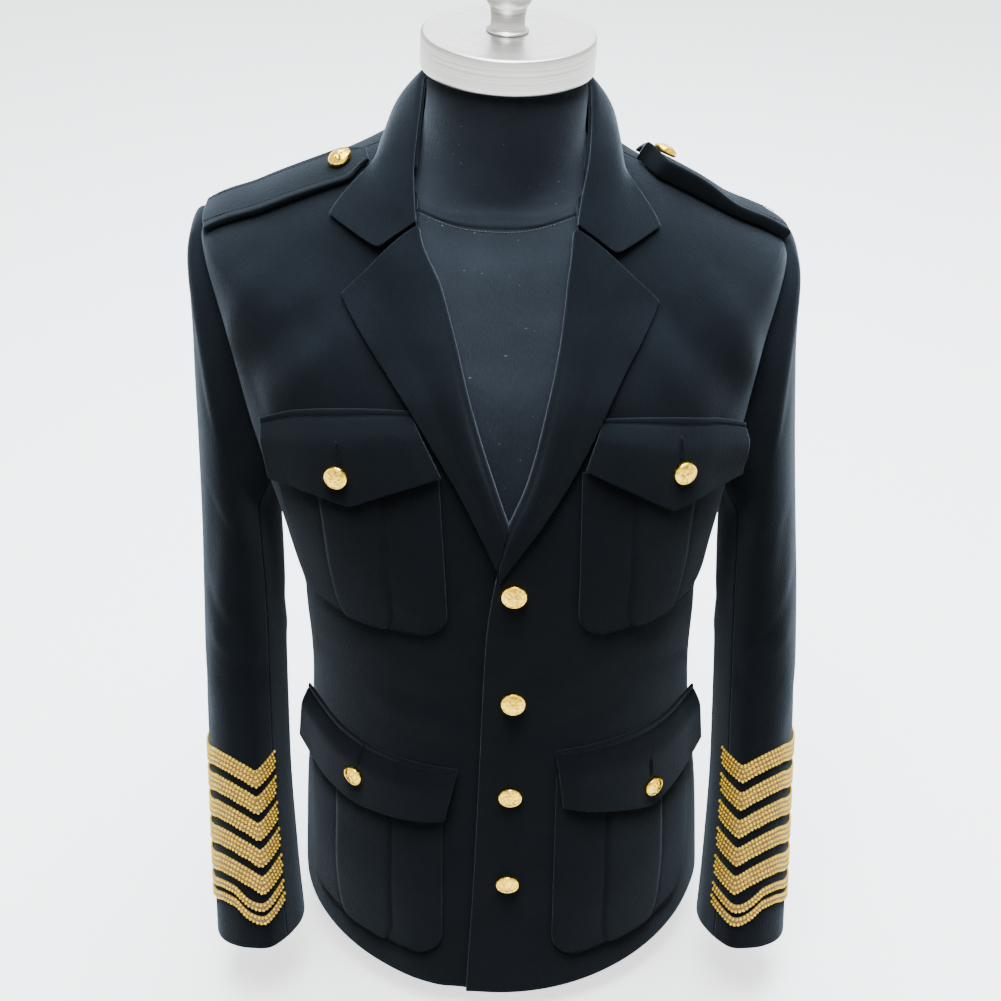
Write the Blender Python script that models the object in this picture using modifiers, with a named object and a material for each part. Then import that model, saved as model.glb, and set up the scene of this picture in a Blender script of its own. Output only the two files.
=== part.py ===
"""A short dress blazer with braided cuffs, worn by a limbless dress form.

Units are metres, +Z is up and the front faces -Y. The form stands on z = 0.
The cloth follows one body surface, read from a short table of rings: a turn of
0 degrees is the centre front, 90 the +X side and 180 the centre back, and a
level climbs from the hem up the body and over the shoulders to the neck.
"""
import math
from collections import namedtuple

import bmesh
import bpy
from mathutils import Matrix, Vector

# Walls and gaps
CLOTH = 0.0020
FACED = 0.0024
SEAM = 0.0004
LIE = 0.0014
TOUCH = 0.0005

# Levels on the body surface
HEM_LEVEL = 0.042
BREAK_LEVEL = 0.506
ARMPIT_LEVEL = 0.470
POINT_LEVEL = 0.688
NECK_LEVEL = 0.824

# Rings of the jacket's outer side, from the hem to the neck seam
Ring = namedtuple("Ring", "level front_z side_z back_z half_width front_y back_y square")
BODY = (
    Ring(0.042, 0.022, 0.042, 0.050, 0.1810, -0.157, 0.136, 2.00),
    Ring(0.140, 0.128, 0.140, 0.148, 0.1745, -0.149, 0.132, 2.10),
    Ring(0.230, 0.226, 0.230, 0.236, 0.1650, -0.142, 0.118, 2.20),
    Ring(0.300, 0.298, 0.300, 0.304, 0.1615, -0.141, 0.108, 2.25),
    Ring(0.370, 0.368, 0.370, 0.374, 0.1640, -0.145, 0.111, 2.30),
    Ring(0.440, 0.438, 0.440, 0.444, 0.1740, -0.151, 0.123, 2.45),
    Ring(0.500, 0.496, 0.500, 0.506, 0.1840, -0.153, 0.132, 2.80),
    Ring(0.560, 0.550, 0.560, 0.552, 0.1950, -0.148, 0.135, 3.10),
    Ring(0.620, 0.598, 0.620, 0.594, 0.2060, -0.137, 0.132, 3.00),
    Ring(0.676, 0.630, 0.676, 0.630, 0.2180, -0.120, 0.126, 2.60),
    Ring(0.730, 0.658, 0.702, 0.666, 0.1720, -0.102, 0.116, 2.30),
    Ring(0.780, 0.684, 0.726, 0.698, 0.1230, -0.088, 0.100, 2.20),
    Ring(0.824, 0.702, 0.747, 0.758, 0.0770, -0.074, 0.068, 2.10),
)

# How fast a ring leaves its side height towards the front and the back
FRONT_BEND = 2.0
BACK_BEND = 1.4

# Rings of the dress form, from its flat base to the top of its neck
FORM = (
    Ring(0.000, 0.000, 0.000, 0.000, 0.1480, -0.122, 0.108, 2.10),
    Ring(0.012, 0.012, 0.012, 0.012, 0.1550, -0.130, 0.116, 2.10),
    Ring(0.140, 0.140, 0.140, 0.140, 0.1570, -0.133, 0.118, 2.10),
    Ring(0.230, 0.230, 0.230, 0.230, 0.1500, -0.128, 0.104, 2.15),
    Ring(0.300, 0.300, 0.300, 0.300, 0.1480, -0.128, 0.096, 2.20),
    Ring(0.370, 0.370, 0.370, 0.370, 0.1500, -0.132, 0.099, 2.20),
    Ring(0.440, 0.440, 0.440, 0.440, 0.1560, -0.138, 0.110, 2.30),
    Ring(0.500, 0.500, 0.500, 0.500, 0.1610, -0.140, 0.118, 2.50),
    Ring(0.560, 0.552, 0.560, 0.546, 0.1660, -0.136, 0.121, 2.60),
    Ring(0.620, 0.598, 0.618, 0.588, 0.1720, -0.125, 0.119, 2.50),
    Ring(0.676, 0.628, 0.6790, 0.624, 0.1780, -0.110, 0.114, 2.35),
    Ring(0.730, 0.654, 0.7054, 0.660, 0.1560, -0.0965, 0.106, 2.25),
    Ring(0.780, 0.680, 0.7252, 0.691, 0.1160, -0.083, 0.092, 2.15),
    Ring(0.824, 0.698, 0.7420, 0.746, 0.0690, -0.069, 0.061, 2.05),
    Ring(0.850, 0.722, 0.7600, 0.768, 0.0590, -0.0590, 0.0570, 2.00),
    Ring(0.880, 0.770, 0.7840, 0.788, 0.0578, -0.0580, 0.0570, 2.00),
    Ring(0.905, 0.8015, 0.8015, 0.8015, 0.0578, -0.0580, 0.0570, 2.00),
)

# The worn jacket sits a little low on its left shoulder, and the neck leans that way
SHOULDER_DROP = 0.040
SHOULDER_SHIFT = 0.004
NECK_SHIFT = 0.009

# Moves every point back, so that the box of the whole stands on the middle of the base
BALANCE = 0.0112

# Soft drag folds, as ridges (+) and troughs (-) along lines on the cloth
Fold = namedtuple("Fold", "x0 y0 z0 x1 y1 z1 width depth")
FOLDS = (
    Fold(0.128, -0.092, 0.668, 0.178, -0.098, 0.612, 0.019, -0.0020),
    Fold(0.160, -0.070, 0.690, 0.192, -0.085, 0.630, 0.019, 0.0020),
    Fold(-0.150, -0.095, 0.655, -0.184, -0.090, 0.600, 0.019, -0.0020),
    Fold(-0.115, -0.115, 0.648, -0.160, -0.108, 0.610, 0.020, 0.0018),
    Fold(0.100, -0.135, 0.372, 0.158, -0.060, 0.330, 0.018, 0.0018),
    Fold(-0.096, -0.135, 0.376, -0.158, -0.060, 0.345, 0.018, 0.0018),
    Fold(0.060, 0.112, 0.345, 0.150, 0.065, 0.300, 0.018, 0.0022),
    Fold(-0.055, 0.112, 0.330, -0.150, 0.065, 0.310, 0.018, 0.0022),
)

# Front edges and roll lines: distance across from x = 0, by level
Edge = namedtuple("Edge", "level over under")
FRONT_EDGE = (
    Edge(0.042, -0.0305, 0.016),
    Edge(0.172, -0.0220, 0.024),
    Edge(0.274, -0.0170, 0.029),
    Edge(0.346, -0.0140, 0.032),
    Edge(0.400, -0.0110, 0.034),
    Edge(0.442, -0.0060, 0.032),
    Edge(0.474, 0.0000, 0.026),
    Edge(0.506, 0.0085, 0.0085),
    Edge(0.554, 0.0260, -0.0050),
    Edge(0.620, 0.0400, -0.0200),
    Edge(0.700, 0.0505, -0.0320),
    Edge(0.756, 0.0550, -0.0420),
    Edge(0.806, 0.0585, -0.0560),
    Edge(0.824, 0.0560, -0.0560),
)
TUCK = 0.0034

# Outer edge of each lapel, from its foot to its peak
Lapel = namedtuple("Lapel", "share level over under")
LAPEL_EDGE = (
    Lapel(0.00, 0.483, 0.0140, -0.0060),
    Lapel(0.25, 0.534, 0.0420, -0.0225),
    Lapel(0.50, 0.590, 0.0680, -0.0480),
    Lapel(0.75, 0.655, 0.0920, -0.0790),
    Lapel(1.00, 0.716, 0.1170, -0.1090),
)
LAPEL_FOOT = {"left": 0.489, "right": 0.513}
GORGE_TURN = {"left": 36.3, "right": 34.4}
GORGE_LEVEL = 0.804
NOTCH_LEVEL = 0.771

# Collar: the fold at its top, and the outer edge that lies on the shoulders
Crease = namedtuple("Crease", "station x y z edge_turn edge_level")
COLLAR = (
    Crease(0.0, 0.0000, 0.0690, 0.7960, 180.0, 0.812),
    Crease(1.0, 0.0430, 0.0530, 0.7940, 138.0, 0.814),
    Crease(2.0, 0.0655, 0.0120, 0.7830, 100.0, 0.817),
    Crease(3.0, 0.0655, -0.0300, 0.7600, 76.0, 0.811),
    Crease(4.0, 0.0585, -0.0700, 0.7120, 57.0, 0.765),
)

# Sleeve: its outer and inner lines, its middle and half its depth, along its length
Sleeve = namedtuple("Sleeve", "along outer_x outer_z inner_x inner_z mid_y half_depth lean")
SLEEVE = (
    Sleeve(0.000, 0.2085, 0.6820, 0.1790, 0.4720, -0.003, 0.080, 0.0),
    Sleeve(0.020, 0.2190, 0.6760, 0.1805, 0.4620, -0.003, 0.085, 0.0),
    Sleeve(0.050, 0.2260, 0.6520, 0.1812, 0.4520, -0.003, 0.086, 0.0),
    Sleeve(0.100, 0.2300, 0.6000, 0.1815, 0.4380, -0.004, 0.083, 0.0),
    Sleeve(0.180, 0.2350, 0.5200, 0.1815, 0.4150, -0.007, 0.078, 1.0),
    Sleeve(0.260, 0.2405, 0.4400, 0.1812, 0.3820, -0.012, 0.070, 3.0),
    Sleeve(0.330, 0.2455, 0.3650, 0.1812, 0.3450, -0.022, 0.063, 7.0),
    Sleeve(0.420, 0.2485, 0.2900, 0.1815, 0.2850, -0.040, 0.056, 12.0),
    Sleeve(0.500, 0.2490, 0.2150, 0.1815, 0.2150, -0.060, 0.052, 15.0),
    Sleeve(0.600, 0.2505, 0.1150, 0.1780, 0.1180, -0.086, 0.050, 15.0),
    Sleeve(0.655, 0.2515, 0.0520, 0.1745, 0.0600, -0.100, 0.050, 14.0),
)
SLEEVE_LENGTH = 0.655
INSEAM = 135.0
HINDARM = -75.0
SLEEVE_GAP = 0.3
FRONT_REACH = 24.0
BACK_REACH = 22.0

# Buttons on the over front: distance across, level, tilt up in degrees
FrontButton = namedtuple("FrontButton", "name across level tilt")
FRONT_BUTTONS = (
    FrontButton("front_button_1", 0.0115, 0.450, 6.0),
    FrontButton("front_button_2", 0.0100, 0.340, 12.0),
    FrontButton("front_button_3", 0.0080, 0.242, -4.0),
    FrontButton("front_button_4", 0.0060, 0.158, -12.0),
)
FRONT_BUTTON_RADIUS = 0.00975
SMALL_BUTTON_RADIUS = 0.0088
BUTTON_HEIGHT = 0.0062

# Patch pockets: distance across of the inner edge, top level, and sizes along the cloth
Pocket = namedtuple("Pocket", "inner_top inner_bottom top width height corner pleat")
BREAST_POCKETS = {
    "left": Pocket(0.0620, 0.0590, 0.566, 0.128, 0.162, 0.024, 0.024),
    "right": Pocket(0.0410, 0.0385, 0.560, 0.134, 0.153, 0.024, 0.024),
}
LOWER_POCKETS = {
    "left": Pocket(0.0450, 0.0430, 0.262, 0.150, 0.186, 0.026, 0.029),
    "right": Pocket(0.0470, 0.0500, 0.248, 0.150, 0.172, 0.026, 0.029),
}

# Pocket flaps: inner edge, heights at the inner end, the point and the outer end, and the
# share of the width from which the flap leaves the cloth and runs straight on
Flap = namedtuple("Flap", "inner_top inner_bottom top fall width inner middle outer drop straight")
BREAST_FLAPS = {
    "left": Flap(0.0800, 0.0670, 0.613, 0.033, 0.128, 0.044, 0.080, 0.046, 0.044, 0.76),
    "right": Flap(0.0650, 0.0430, 0.616, 0.032, 0.132, 0.056, 0.080, 0.052, 0.054, 0.80),
}
LOWER_FLAPS = {
    "left": Flap(0.0440, 0.0500, 0.286, 0.010, 0.160, 0.056, 0.081, 0.058, 0.058, 0.80),
    "right": Flap(0.0340, 0.0450, 0.268, -0.014, 0.164, 0.051, 0.062, 0.060, 0.031, 0.80),
}
PLEAT_RISE = 0.0014
PLEAT_STEP = 0.002

# Shoulder straps: front edge and width at the neck end and at the sleeve end
# and how far the front edge lifts towards the sleeve and at the neck end
Strap = namedtuple("Strap", "front_y lift neck_lift neck_level neck_width sleeve_width")
STRAPS = {
    "right": Strap(-0.036, 0.0010, 0.0000, 0.806, 0.036, 0.050),
    "left": Strap(-0.018, 0.0060, 0.0120, 0.804, 0.036, 0.050),
}
BUTTON_ALONG = 0.14
BUTTON_CLEAR = 0.0009
STRAP_END_LEVEL = 0.688
STRAP_WALL = 0.0035
STRAP_TIP = 0.014

# Braid chevrons on each cuff: where the first one's apex lies, the step to the next, the turn
# of the apex and of the inner end, and how steeply the inner arm climbs
Cuff = namedtuple("Cuff", "first pitch apex inner climb")
CUFFS = {"left": Cuff(0.4955, 0.0260, 109.0, 145.0, 0.30), "right": Cuff(0.5000, 0.0248, 105.0, 136.0, 0.50)}
CHEVRONS = 6
CHEVRON_WIDTH = 0.0180
CHEVRON_OUTER = -66.0
CUFF_RADIUS = 0.045
# How far the outer arm has climbed, by degrees away from the apex
Arm = namedtuple("Arm", "away rise")
OUTER_ARM = (
    Arm(0.0, 0.0),
    Arm(17.0, 0.0085),
    Arm(37.0, 0.0140),
    Arm(55.0, 0.0150),
    Arm(75.0, 0.0120),
    Arm(100.0, 0.0100),
    Arm(180.0, 0.0100),
)
BRAID = 0.0018
BRAID_RISE = 0.0010

# Neck cap and finial of the form
CAP_RADIUS = 0.0625
CAP_HEIGHT = 0.0255
CAP_TILT = 2.3
STEM_RADIUS = 0.0122
STEM_HEIGHT = 0.012
BALL_RADIUS = 0.0178

COLOURS = {
    "cloth": ((0.008, 0.010, 0.016, 1.0), 0.85, 0.0),
    "jersey": ((0.010, 0.011, 0.016, 1.0), 0.90, 0.0),
    "gold": ((0.78, 0.57, 0.22, 1.0), 0.28, 1.0),
    "braid": ((0.66, 0.50, 0.16, 1.0), 0.45, 0.6),
    "steel": ((0.62, 0.60, 0.57, 1.0), 0.34, 1.0),
}
SIDES = (("left", 1.0), ("right", -1.0))


def ramp(value, low, high):
    """0 below low, 1 above high, and smooth between them."""
    share = min(1.0, max(0.0, (value - low) / (high - low)))
    return share * share * (3.0 - 2.0 * share)


def smooth(rows, key, column):
    """A column of a table at a key, on a smooth curve that doesn't overshoot."""
    keys = [row[0] for row in rows]
    values = [getattr(row, column) for row in rows]
    last = len(rows) - 1
    index = 0
    while index < last - 1 and key > keys[index + 1]:
        index += 1
    span = keys[index + 1] - keys[index]
    t = (key - keys[index]) / span

    def slope(k):
        before = (values[k] - values[k - 1]) / (keys[k] - keys[k - 1]) if k > 0 else None
        after = (values[k + 1] - values[k]) / (keys[k + 1] - keys[k]) if k < last else None
        if before is None:
            return after
        if after is None:
            return before
        if before * after <= 0.0:
            return 0.0
        return 2.0 * before * after / (before + after)

    start = slope(index) * span
    end = slope(index + 1) * span
    return (
        (2 * t**3 - 3 * t**2 + 1) * values[index]
        + (t**3 - 2 * t**2 + t) * start
        + (3 * t**2 - 2 * t**3) * values[index + 1]
        + (t**3 - t**2) * end
    )


def ring_at(rows, level):
    """The ring of a table at any level."""
    return Ring(level, *(smooth(rows, level, column) for column in Ring._fields[1:]))


def ring_point(ring, turn):
    """The point of a ring at a turn in degrees."""
    cosine = math.cos(math.radians(turn))
    sine = math.sin(math.radians(turn))
    power = 2.0 / ring.square
    x = ring.half_width * math.copysign(abs(sine) ** power, sine)
    deep = ring.front_y if cosine >= 0.0 else ring.back_y
    high = ring.front_z if cosine >= 0.0 else ring.back_z
    y = deep * abs(cosine) ** power
    bend = FRONT_BEND if cosine >= 0.0 else BACK_BEND
    return Vector((x, y, ring.side_z + (high - ring.side_z) * abs(cosine) ** bend))


def fold_height(point):
    """How far the drag folds lift the cloth at a point."""
    height = 0.0
    for fold in FOLDS:
        start = Vector((fold.x0, fold.y0, fold.z0))
        run = Vector((fold.x1, fold.y1, fold.z1)) - start
        share = min(1.0, max(0.0, (point - start).dot(run) / run.length_squared))
        away = (point - start - run * share).length
        height += fold.depth * math.exp(-((away / fold.width) ** 2))
    return height


def settle(point):
    """Tilt the shoulders, lean the neck as the worn jacket hangs, and centre the whole."""
    weight = ramp(point.z, 0.34, 0.64)
    x = point.x - SHOULDER_SHIFT * weight + NECK_SHIFT * ramp(point.z, 0.70, 0.79)
    return Vector((x, point.y + BALANCE, point.z - SHOULDER_DROP * weight * point.x))


def bare(turn, level):
    """A point of the body surface before folds."""
    return ring_point(ring_at(BODY, level), turn)


def outward(turn, level):
    """The direction out of the body surface."""
    across = bare(turn + 0.5, level) - bare(turn - 0.5, level)
    up = bare(turn, min(NECK_LEVEL, level + 0.002)) - bare(turn, max(HEM_LEVEL, level - 0.002))
    return across.cross(up).normalized()


def cloth(turn, level, out=0.0):
    """A point of the jacket's cloth, moved out along its normal."""
    point = bare(turn, level)
    return settle(point + outward(turn, level) * (out + fold_height(point)))


def turn_at(across, level):
    """The turn of the front point at a distance across."""
    ring = ring_at(BODY, level)
    share = min(1.0, abs(across) / ring.half_width)
    return math.copysign(math.degrees(math.asin(share ** (ring.square / 2.0))), across)


def beside(turn, level, gap):
    """The turn that lies a small gap along the ring from a turn."""
    low, high = 0.0, 6.0
    here = bare(turn, level)
    for _ in range(40):
        middle = (low + high) / 2.0
        if (bare(turn + math.copysign(middle, gap), level) - here).length < abs(gap):
            low = middle
        else:
            high = middle
    return turn + math.copysign(high, gap)


def walk(turn, level, distance):
    """The turn reached after a distance along the ring, round to the +X side."""
    step = math.copysign(0.5, distance)
    left = abs(distance)
    here = bare(turn, level)
    while left > 0.0:
        ahead = bare(turn + step, level)
        length = (ahead - here).length
        if length >= left:
            return turn + step * left / length
        left -= length
        turn += step
        here = ahead
    return turn


def spread(start, end, count):
    """Evenly spaced values, both ends included."""
    return [start + (end - start) * i / (count - 1) for i in range(count)]


def material(name):
    """The Principled material of one finish."""
    colour, roughness, metallic = COLOURS[name]
    made = bpy.data.materials.get(name)
    if made is None:
        made = bpy.data.materials.new(name)
        made.use_nodes = True
        shader = made.node_tree.nodes["Principled BSDF"]
        shader.inputs["Base Color"].default_value = colour
        shader.inputs["Roughness"].default_value = roughness
        shader.inputs["Metallic"].default_value = metallic
    return made


def add_object(name, mesh, finish):
    """An object of the blazer's collection."""
    made = bpy.data.objects.new(name, mesh)
    bpy.data.collections["dress_blazer"].objects.link(made)
    mesh.materials.append(material(finish))
    mesh.shade_smooth()
    mesh.set_sharp_from_angle(angle=math.radians(40.0))
    return made


def grid_shape(us, vs, place):
    """A bmesh grid placed by a function of the two stations, with a layer of cell numbers."""
    shape = bmesh.new()
    bmesh.ops.create_grid(shape, x_segments=len(us) - 1, y_segments=len(vs) - 1, size=0.5)
    cell = shape.verts.layers.int.new("cell")
    for vert in shape.verts:
        column = round((vert.co.x + 0.5) * (len(us) - 1))
        row = round((vert.co.y + 0.5) * (len(vs) - 1))
        vert[cell] = row * len(us) + column
        vert.co = place(us[column], vs[row])
    return shape, cell


def wall(name, us, vs, place, thickness=CLOTH, finish="cloth"):
    """A cloth wall: a grid on its outer side, and the same grid a thickness further in."""
    shape, cell = grid_shape(us, vs, lambda u, v: place(u, v, 0.0))
    grown = bmesh.ops.extrude_face_region(shape, geom=shape.faces[:], use_keep_orig=True)
    for vert in grown["geom"]:
        if isinstance(vert, bmesh.types.BMVert):
            row, column = divmod(vert[cell], len(us))
            vert.co = place(us[column], vs[row], thickness)
    bmesh.ops.recalc_face_normals(shape, faces=shape.faces)
    mesh = bpy.data.meshes.new(name)
    shape.to_mesh(mesh)
    shape.free()
    return add_object(name, mesh, finish)


def shell(name, us, vs, place, thickness):
    """A freer piece: an open grid with a Solidify modifier that grows towards the body."""
    shape, _ = grid_shape(us, vs, place)
    total = 0.0
    for face in shape.faces:
        centre = face.calc_center_median()
        face.normal_update()
        away = centre - Vector((0.0, BALANCE, centre.z - 0.03))
        total += face.normal.dot(away) * face.calc_area()
    if total < 0.0:
        bmesh.ops.reverse_faces(shape, faces=shape.faces)
    mesh = bpy.data.meshes.new(name)
    shape.to_mesh(mesh)
    shape.free()
    made = add_object(name, mesh, "cloth")
    solid = made.modifiers.new("wall", "SOLIDIFY")
    solid.thickness = thickness
    solid.offset = -1.0
    return made


def turned(name, profile, steps, finish):
    """A turned solid from a profile that runs from its top to its bottom."""
    shape = bmesh.new()
    verts = [shape.verts.new((radius, 0.0, height)) for radius, height in profile]
    for start, end in zip(verts, verts[1:]):
        shape.edges.new((start, end))
    mesh = bpy.data.meshes.new(name)
    shape.to_mesh(mesh)
    shape.free()
    made = add_object(name, mesh, finish)
    screw = made.modifiers.new("turn", "SCREW")
    screw.steps = steps
    screw.render_steps = steps
    screw.use_merge_vertices = True
    screw.merge_threshold = 0.0001
    return made


def armhole(around, grow):
    """Turn and level on the armhole loop: 0 is its top, 90 its front, 180 its armpit."""
    cosine = math.cos(math.radians(around))
    sine = math.sin(math.radians(around))
    middle = (POINT_LEVEL + ARMPIT_LEVEL) / 2.0
    half = (POINT_LEVEL - ARMPIT_LEVEL) / 2.0
    level = middle + (half + grow) * math.copysign(abs(cosine) ** 0.7, cosine)
    centre = 92.0 - 2.0 * cosine
    reach = FRONT_REACH - 8.0 * cosine if sine >= 0.0 else BACK_REACH - 4.0 * cosine
    return centre - (reach + grow * 380.0) * sine, level


def sleeve_ring(row, around):
    """The oval section of the sleeve at a row, 0 outside, 90 front, 180 inside."""
    outer = Vector((row.outer_x, row.mid_y, row.outer_z))
    inner = Vector((row.inner_x, row.mid_y, row.inner_z))
    lean = math.radians(row.lean)
    forward = Vector((0.0, -math.cos(lean), math.sin(lean))) * row.half_depth
    cosine = math.cos(math.radians(around))
    sine = math.sin(math.radians(around))
    wide = math.copysign(abs(cosine) ** 0.92, cosine)
    deep = math.copysign(abs(sine) ** 0.92, sine)
    return (outer + inner) / 2.0 + (outer - inner) / 2.0 * wide + forward * deep


def sleeve_bare(around, along):
    """A point of the +X sleeve before the jacket settles."""
    row = Sleeve(along, *(smooth(SLEEVE, along, column) for column in Sleeve._fields[1:]))
    section = sleeve_ring(row, around)
    weight = ramp(along, -0.02, 0.09)
    if weight >= 1.0:
        return section
    turn, level = armhole(around, -SEAM)
    seam = bare(turn, level)
    start = sleeve_ring(SLEEVE[0], around)
    return section + (seam - start) * (1.0 - ramp(along, 0.0, 0.09))


def sleeve(side, around, along, out=0.0):
    """A point of a sleeve, moved out along its normal."""
    across = sleeve_bare(around + 1.0, along) - sleeve_bare(around - 1.0, along)
    high = min(SLEEVE_LENGTH, along + 0.003)
    low = max(0.0, along - 0.003)
    down = sleeve_bare(around, high) - sleeve_bare(around, low)
    normal = across.cross(down).normalized()
    head = ramp(math.cos(math.radians(around)), -0.1, 0.7)
    seam = head * (1.0 - ramp(along, 0.0, 0.02))
    if seam > 0.0:
        normal = normal.lerp(outward(*armhole(around, -SEAM)), seam).normalized()
    point = sleeve_bare(around, along) + normal * out
    return settle(Vector((point.x * side, point.y, point.z)))


def panel_levels():
    """Levels of a panel's rows, close together round the armhole."""
    rows = [(level, None) for level in spread(HEM_LEVEL, ARMPIT_LEVEL, 12)[:-1]]
    rows += [(armhole(around, SEAM)[1], around) for around in spread(180.0, 0.0, 13)]
    rows += [(level, -1.0) for level in spread(POINT_LEVEL, NECK_LEVEL, 6)[1:]]
    return rows


def panel_row(row, front):
    """Level and the turn of the side edge of one row of a front or back panel."""
    level, around = row
    sign = -1.0 if front else 1.0
    if around is None:
        return level, beside(94.0, level, sign * SEAM)
    if around < 0.0:
        return level, beside(90.0, level, sign * SEAM)
    if around in (0.0, 180.0):
        return level, beside(90.0 if around == 0.0 else 94.0, level, sign * SEAM)
    turn, level = armhole(around if front else -around, SEAM)
    return level, turn


def front_panel(side_name, side):
    """One front, from its edge and roll line to the side seam, armhole and shoulder."""
    column = "over" if side > 0.0 else "under"
    rows = [panel_row(row, True) for row in panel_levels()]

    def place(u, row, depth):
        level, side_turn = row
        edge = turn_at(smooth(FRONT_EDGE, level, column) * side, level)
        turn = edge + (side_turn - edge) * u
        out = 0.0
        if side < 0.0:
            over = smooth(FRONT_EDGE, level, "over")
            out = -TUCK * ramp(bare(-turn, level).x, over - 0.026, over - 0.004)
            out *= 1.0 - ramp(level, BREAK_LEVEL + 0.008, BREAK_LEVEL + 0.030)
        return cloth(turn * side, level, out - depth)

    us = [0.0, 0.13, 0.26, 0.38, 0.50, 0.61, 0.71, 0.81, 0.91, 1.0]
    return wall("front_" + side_name, us, rows, place)


def back_panel(side_name, side):
    """One half of the back, from the side seam to the centre-back seam."""
    rows = [panel_row(row, False) for row in panel_levels()]

    def place(u, row, depth):
        level, side_turn = row
        centre = beside(180.0, level, -SEAM / 2.0)
        return cloth((side_turn + (centre - side_turn) * u) * side, level, -depth)

    return wall("back_" + side_name, spread(0.0, 1.0, 9), rows, place)


def lapel(side_name, side):
    """A lapel, folded out along the roll line on to the front."""
    column = "over" if side > 0.0 else "under"
    foot = LAPEL_FOOT[side_name]

    def place(u, v, depth):
        level_in = foot + (GORGE_LEVEL - foot) * v
        level_out = smooth(LAPEL_EDGE, v, "level")
        across_in = smooth(FRONT_EDGE, level_in, column)
        across_out = smooth(LAPEL_EDGE, v, column)
        level = level_in + (level_out - level_in) * u
        across = across_in + (across_out - across_in) * u
        roll = 0.0030 * math.sin(math.pi * min(1.0, u * 1.6)) * ramp(v, 0.0, 0.3)
        lift = FACED + TOUCH + (LIE - TOUCH) * ramp(u, 0.0, 0.12) + roll
        return cloth(turn_at(across, level), level, lift - depth)

    us = [0.0, 0.12, 0.28, 0.48, 0.74, 1.0]
    return wall("lapel_" + side_name, us, spread(0.0, 1.0, 12), place, FACED)


def collar_row(side, station):
    """Crease point and the outer edge's turn and level at a station of the collar."""
    away = abs(station)
    x, y, z, turn, level = (smooth(COLLAR, away, column) for column in Crease._fields[1:])
    sign = math.copysign(1.0, station) * side
    return Vector((x * sign, y, z)), turn * sign, level


def collar_fall():
    """The part of the collar that turns down over the shoulders."""
    def place(u, station):
        crease, turn, level = collar_row(1.0, station)
        sign = math.copysign(1.0, station)
        edge = bare(turn, level) + outward(turn, level) * (FACED + LIE)
        end = ramp(abs(station), 3.0, 4.0)
        gorge = (GORGE_TURN["left"] if sign > 0.0 else GORGE_TURN["right"]) * sign
        start = bare(gorge, GORGE_LEVEL) + outward(gorge, GORGE_LEVEL) * 0.0052
        crease = crease.lerp(start, ramp(abs(station), 3.4, 4.0))
        notch = bare(gorge, NOTCH_LEVEL) + outward(gorge, NOTCH_LEVEL) * (FACED + LIE)
        kink = crease.lerp(edge, 0.45).lerp(notch, end)
        bow = 0.0050 * math.sin(math.pi * u)
        if u < 0.45:
            point = crease.lerp(kink, u / 0.45)
        else:
            point = kink.lerp(edge, (u - 0.45) / 0.55)
        away = Vector((point.x, point.y, 0.02)).normalized()
        return settle(point + away * bow)

    stations = [-4.0, -3.75, -3.5, -3.1, -2.7, -2.3, -1.8, -1.3, -0.8, -0.4]
    stations += [0.0] + [-station for station in reversed(stations)]
    return shell("collar_fall", [0.0, 0.2, 0.45, 0.7, 1.0], stations, place, FACED)


def collar_stand():
    """The band of the collar that stands up from the neck seam inside the fall."""
    def place(u, station):
        crease, _, _ = collar_row(1.0, station)
        sign = math.copysign(1.0, station)
        turn = (180.0 - 34.0 * abs(station)) * sign
        inward = Vector((crease.x, crease.y, 0.0)).normalized()
        foot = bare(turn, NECK_LEVEL) - inward * 0.0022
        foot.z += 0.0016
        top = crease - inward * 0.0046
        top.z -= 0.0036
        return settle(foot.lerp(top, u))

    return shell("collar_stand", [0.0, 0.5, 1.0], spread(-3.4, 3.4, 21), place, CLOTH)


def sleeve_piece(name, side, start, end, count):
    """One of the two pieces of a sleeve, between its seams."""
    alongs = [0.0, 0.012, 0.026, 0.046, 0.072, 0.105, 0.15, 0.20, 0.26, 0.32, 0.38, 0.44, 0.51, 0.585, 0.655]

    def place(around, along, depth):
        return sleeve(side, around, along, -depth)

    arounds = spread(start, end, count)
    arounds[0] += SLEEVE_GAP
    arounds[-1] -= SLEEVE_GAP
    return wall(name, arounds, alongs, place)


def patch_point(inner, level, across, side, out):
    """A point on the cloth, a distance along it from a patch's inner edge."""
    return cloth(walk(turn_at(inner, level), level, across) * side, level, out)


def patch_pocket(name, side, pocket):
    """A patch pocket with round lower corners and a raised box pleat."""
    half = pocket.width / 2.0
    step = pocket.pleat + PLEAT_STEP
    us = [-1.0, -0.72, -step / half, -pocket.pleat / half, 0.0, pocket.pleat / half, step / half, 0.74, 1.0]
    corner = pocket.corner

    def place(u, down, depth):
        below = max(0.0, down - (pocket.height - corner))
        inset = corner - math.sqrt(max(0.0, corner * corner - below * below))
        inner = pocket.inner_top + (pocket.inner_bottom - pocket.inner_top) * down / pocket.height
        across = half + u * (half - inset)
        raised = PLEAT_RISE if abs(u * half) <= pocket.pleat + 1e-6 else 0.0
        return patch_point(inner, pocket.top - down, across, side, CLOTH + LIE + raised - depth)

    downs = spread(0.0, pocket.height - corner - 0.02, 5)
    downs += [pocket.height - corner * (1.0 - math.sin(math.radians(a))) for a in (0, 32, 60, 86)]
    return wall(name, us, downs, place)


def flap_level(flap, share, v):
    """The level of a point of a flap: share along its width and v down its height."""
    point = 1.0 - abs(2.0 * share - 1.0) ** 1.15
    ends = flap.inner + (flap.outer - flap.inner) * share
    height = ends + (flap.middle - (flap.inner + flap.outer) / 2.0) * point
    return flap.top - flap.fall * share * share - height * v


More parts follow.
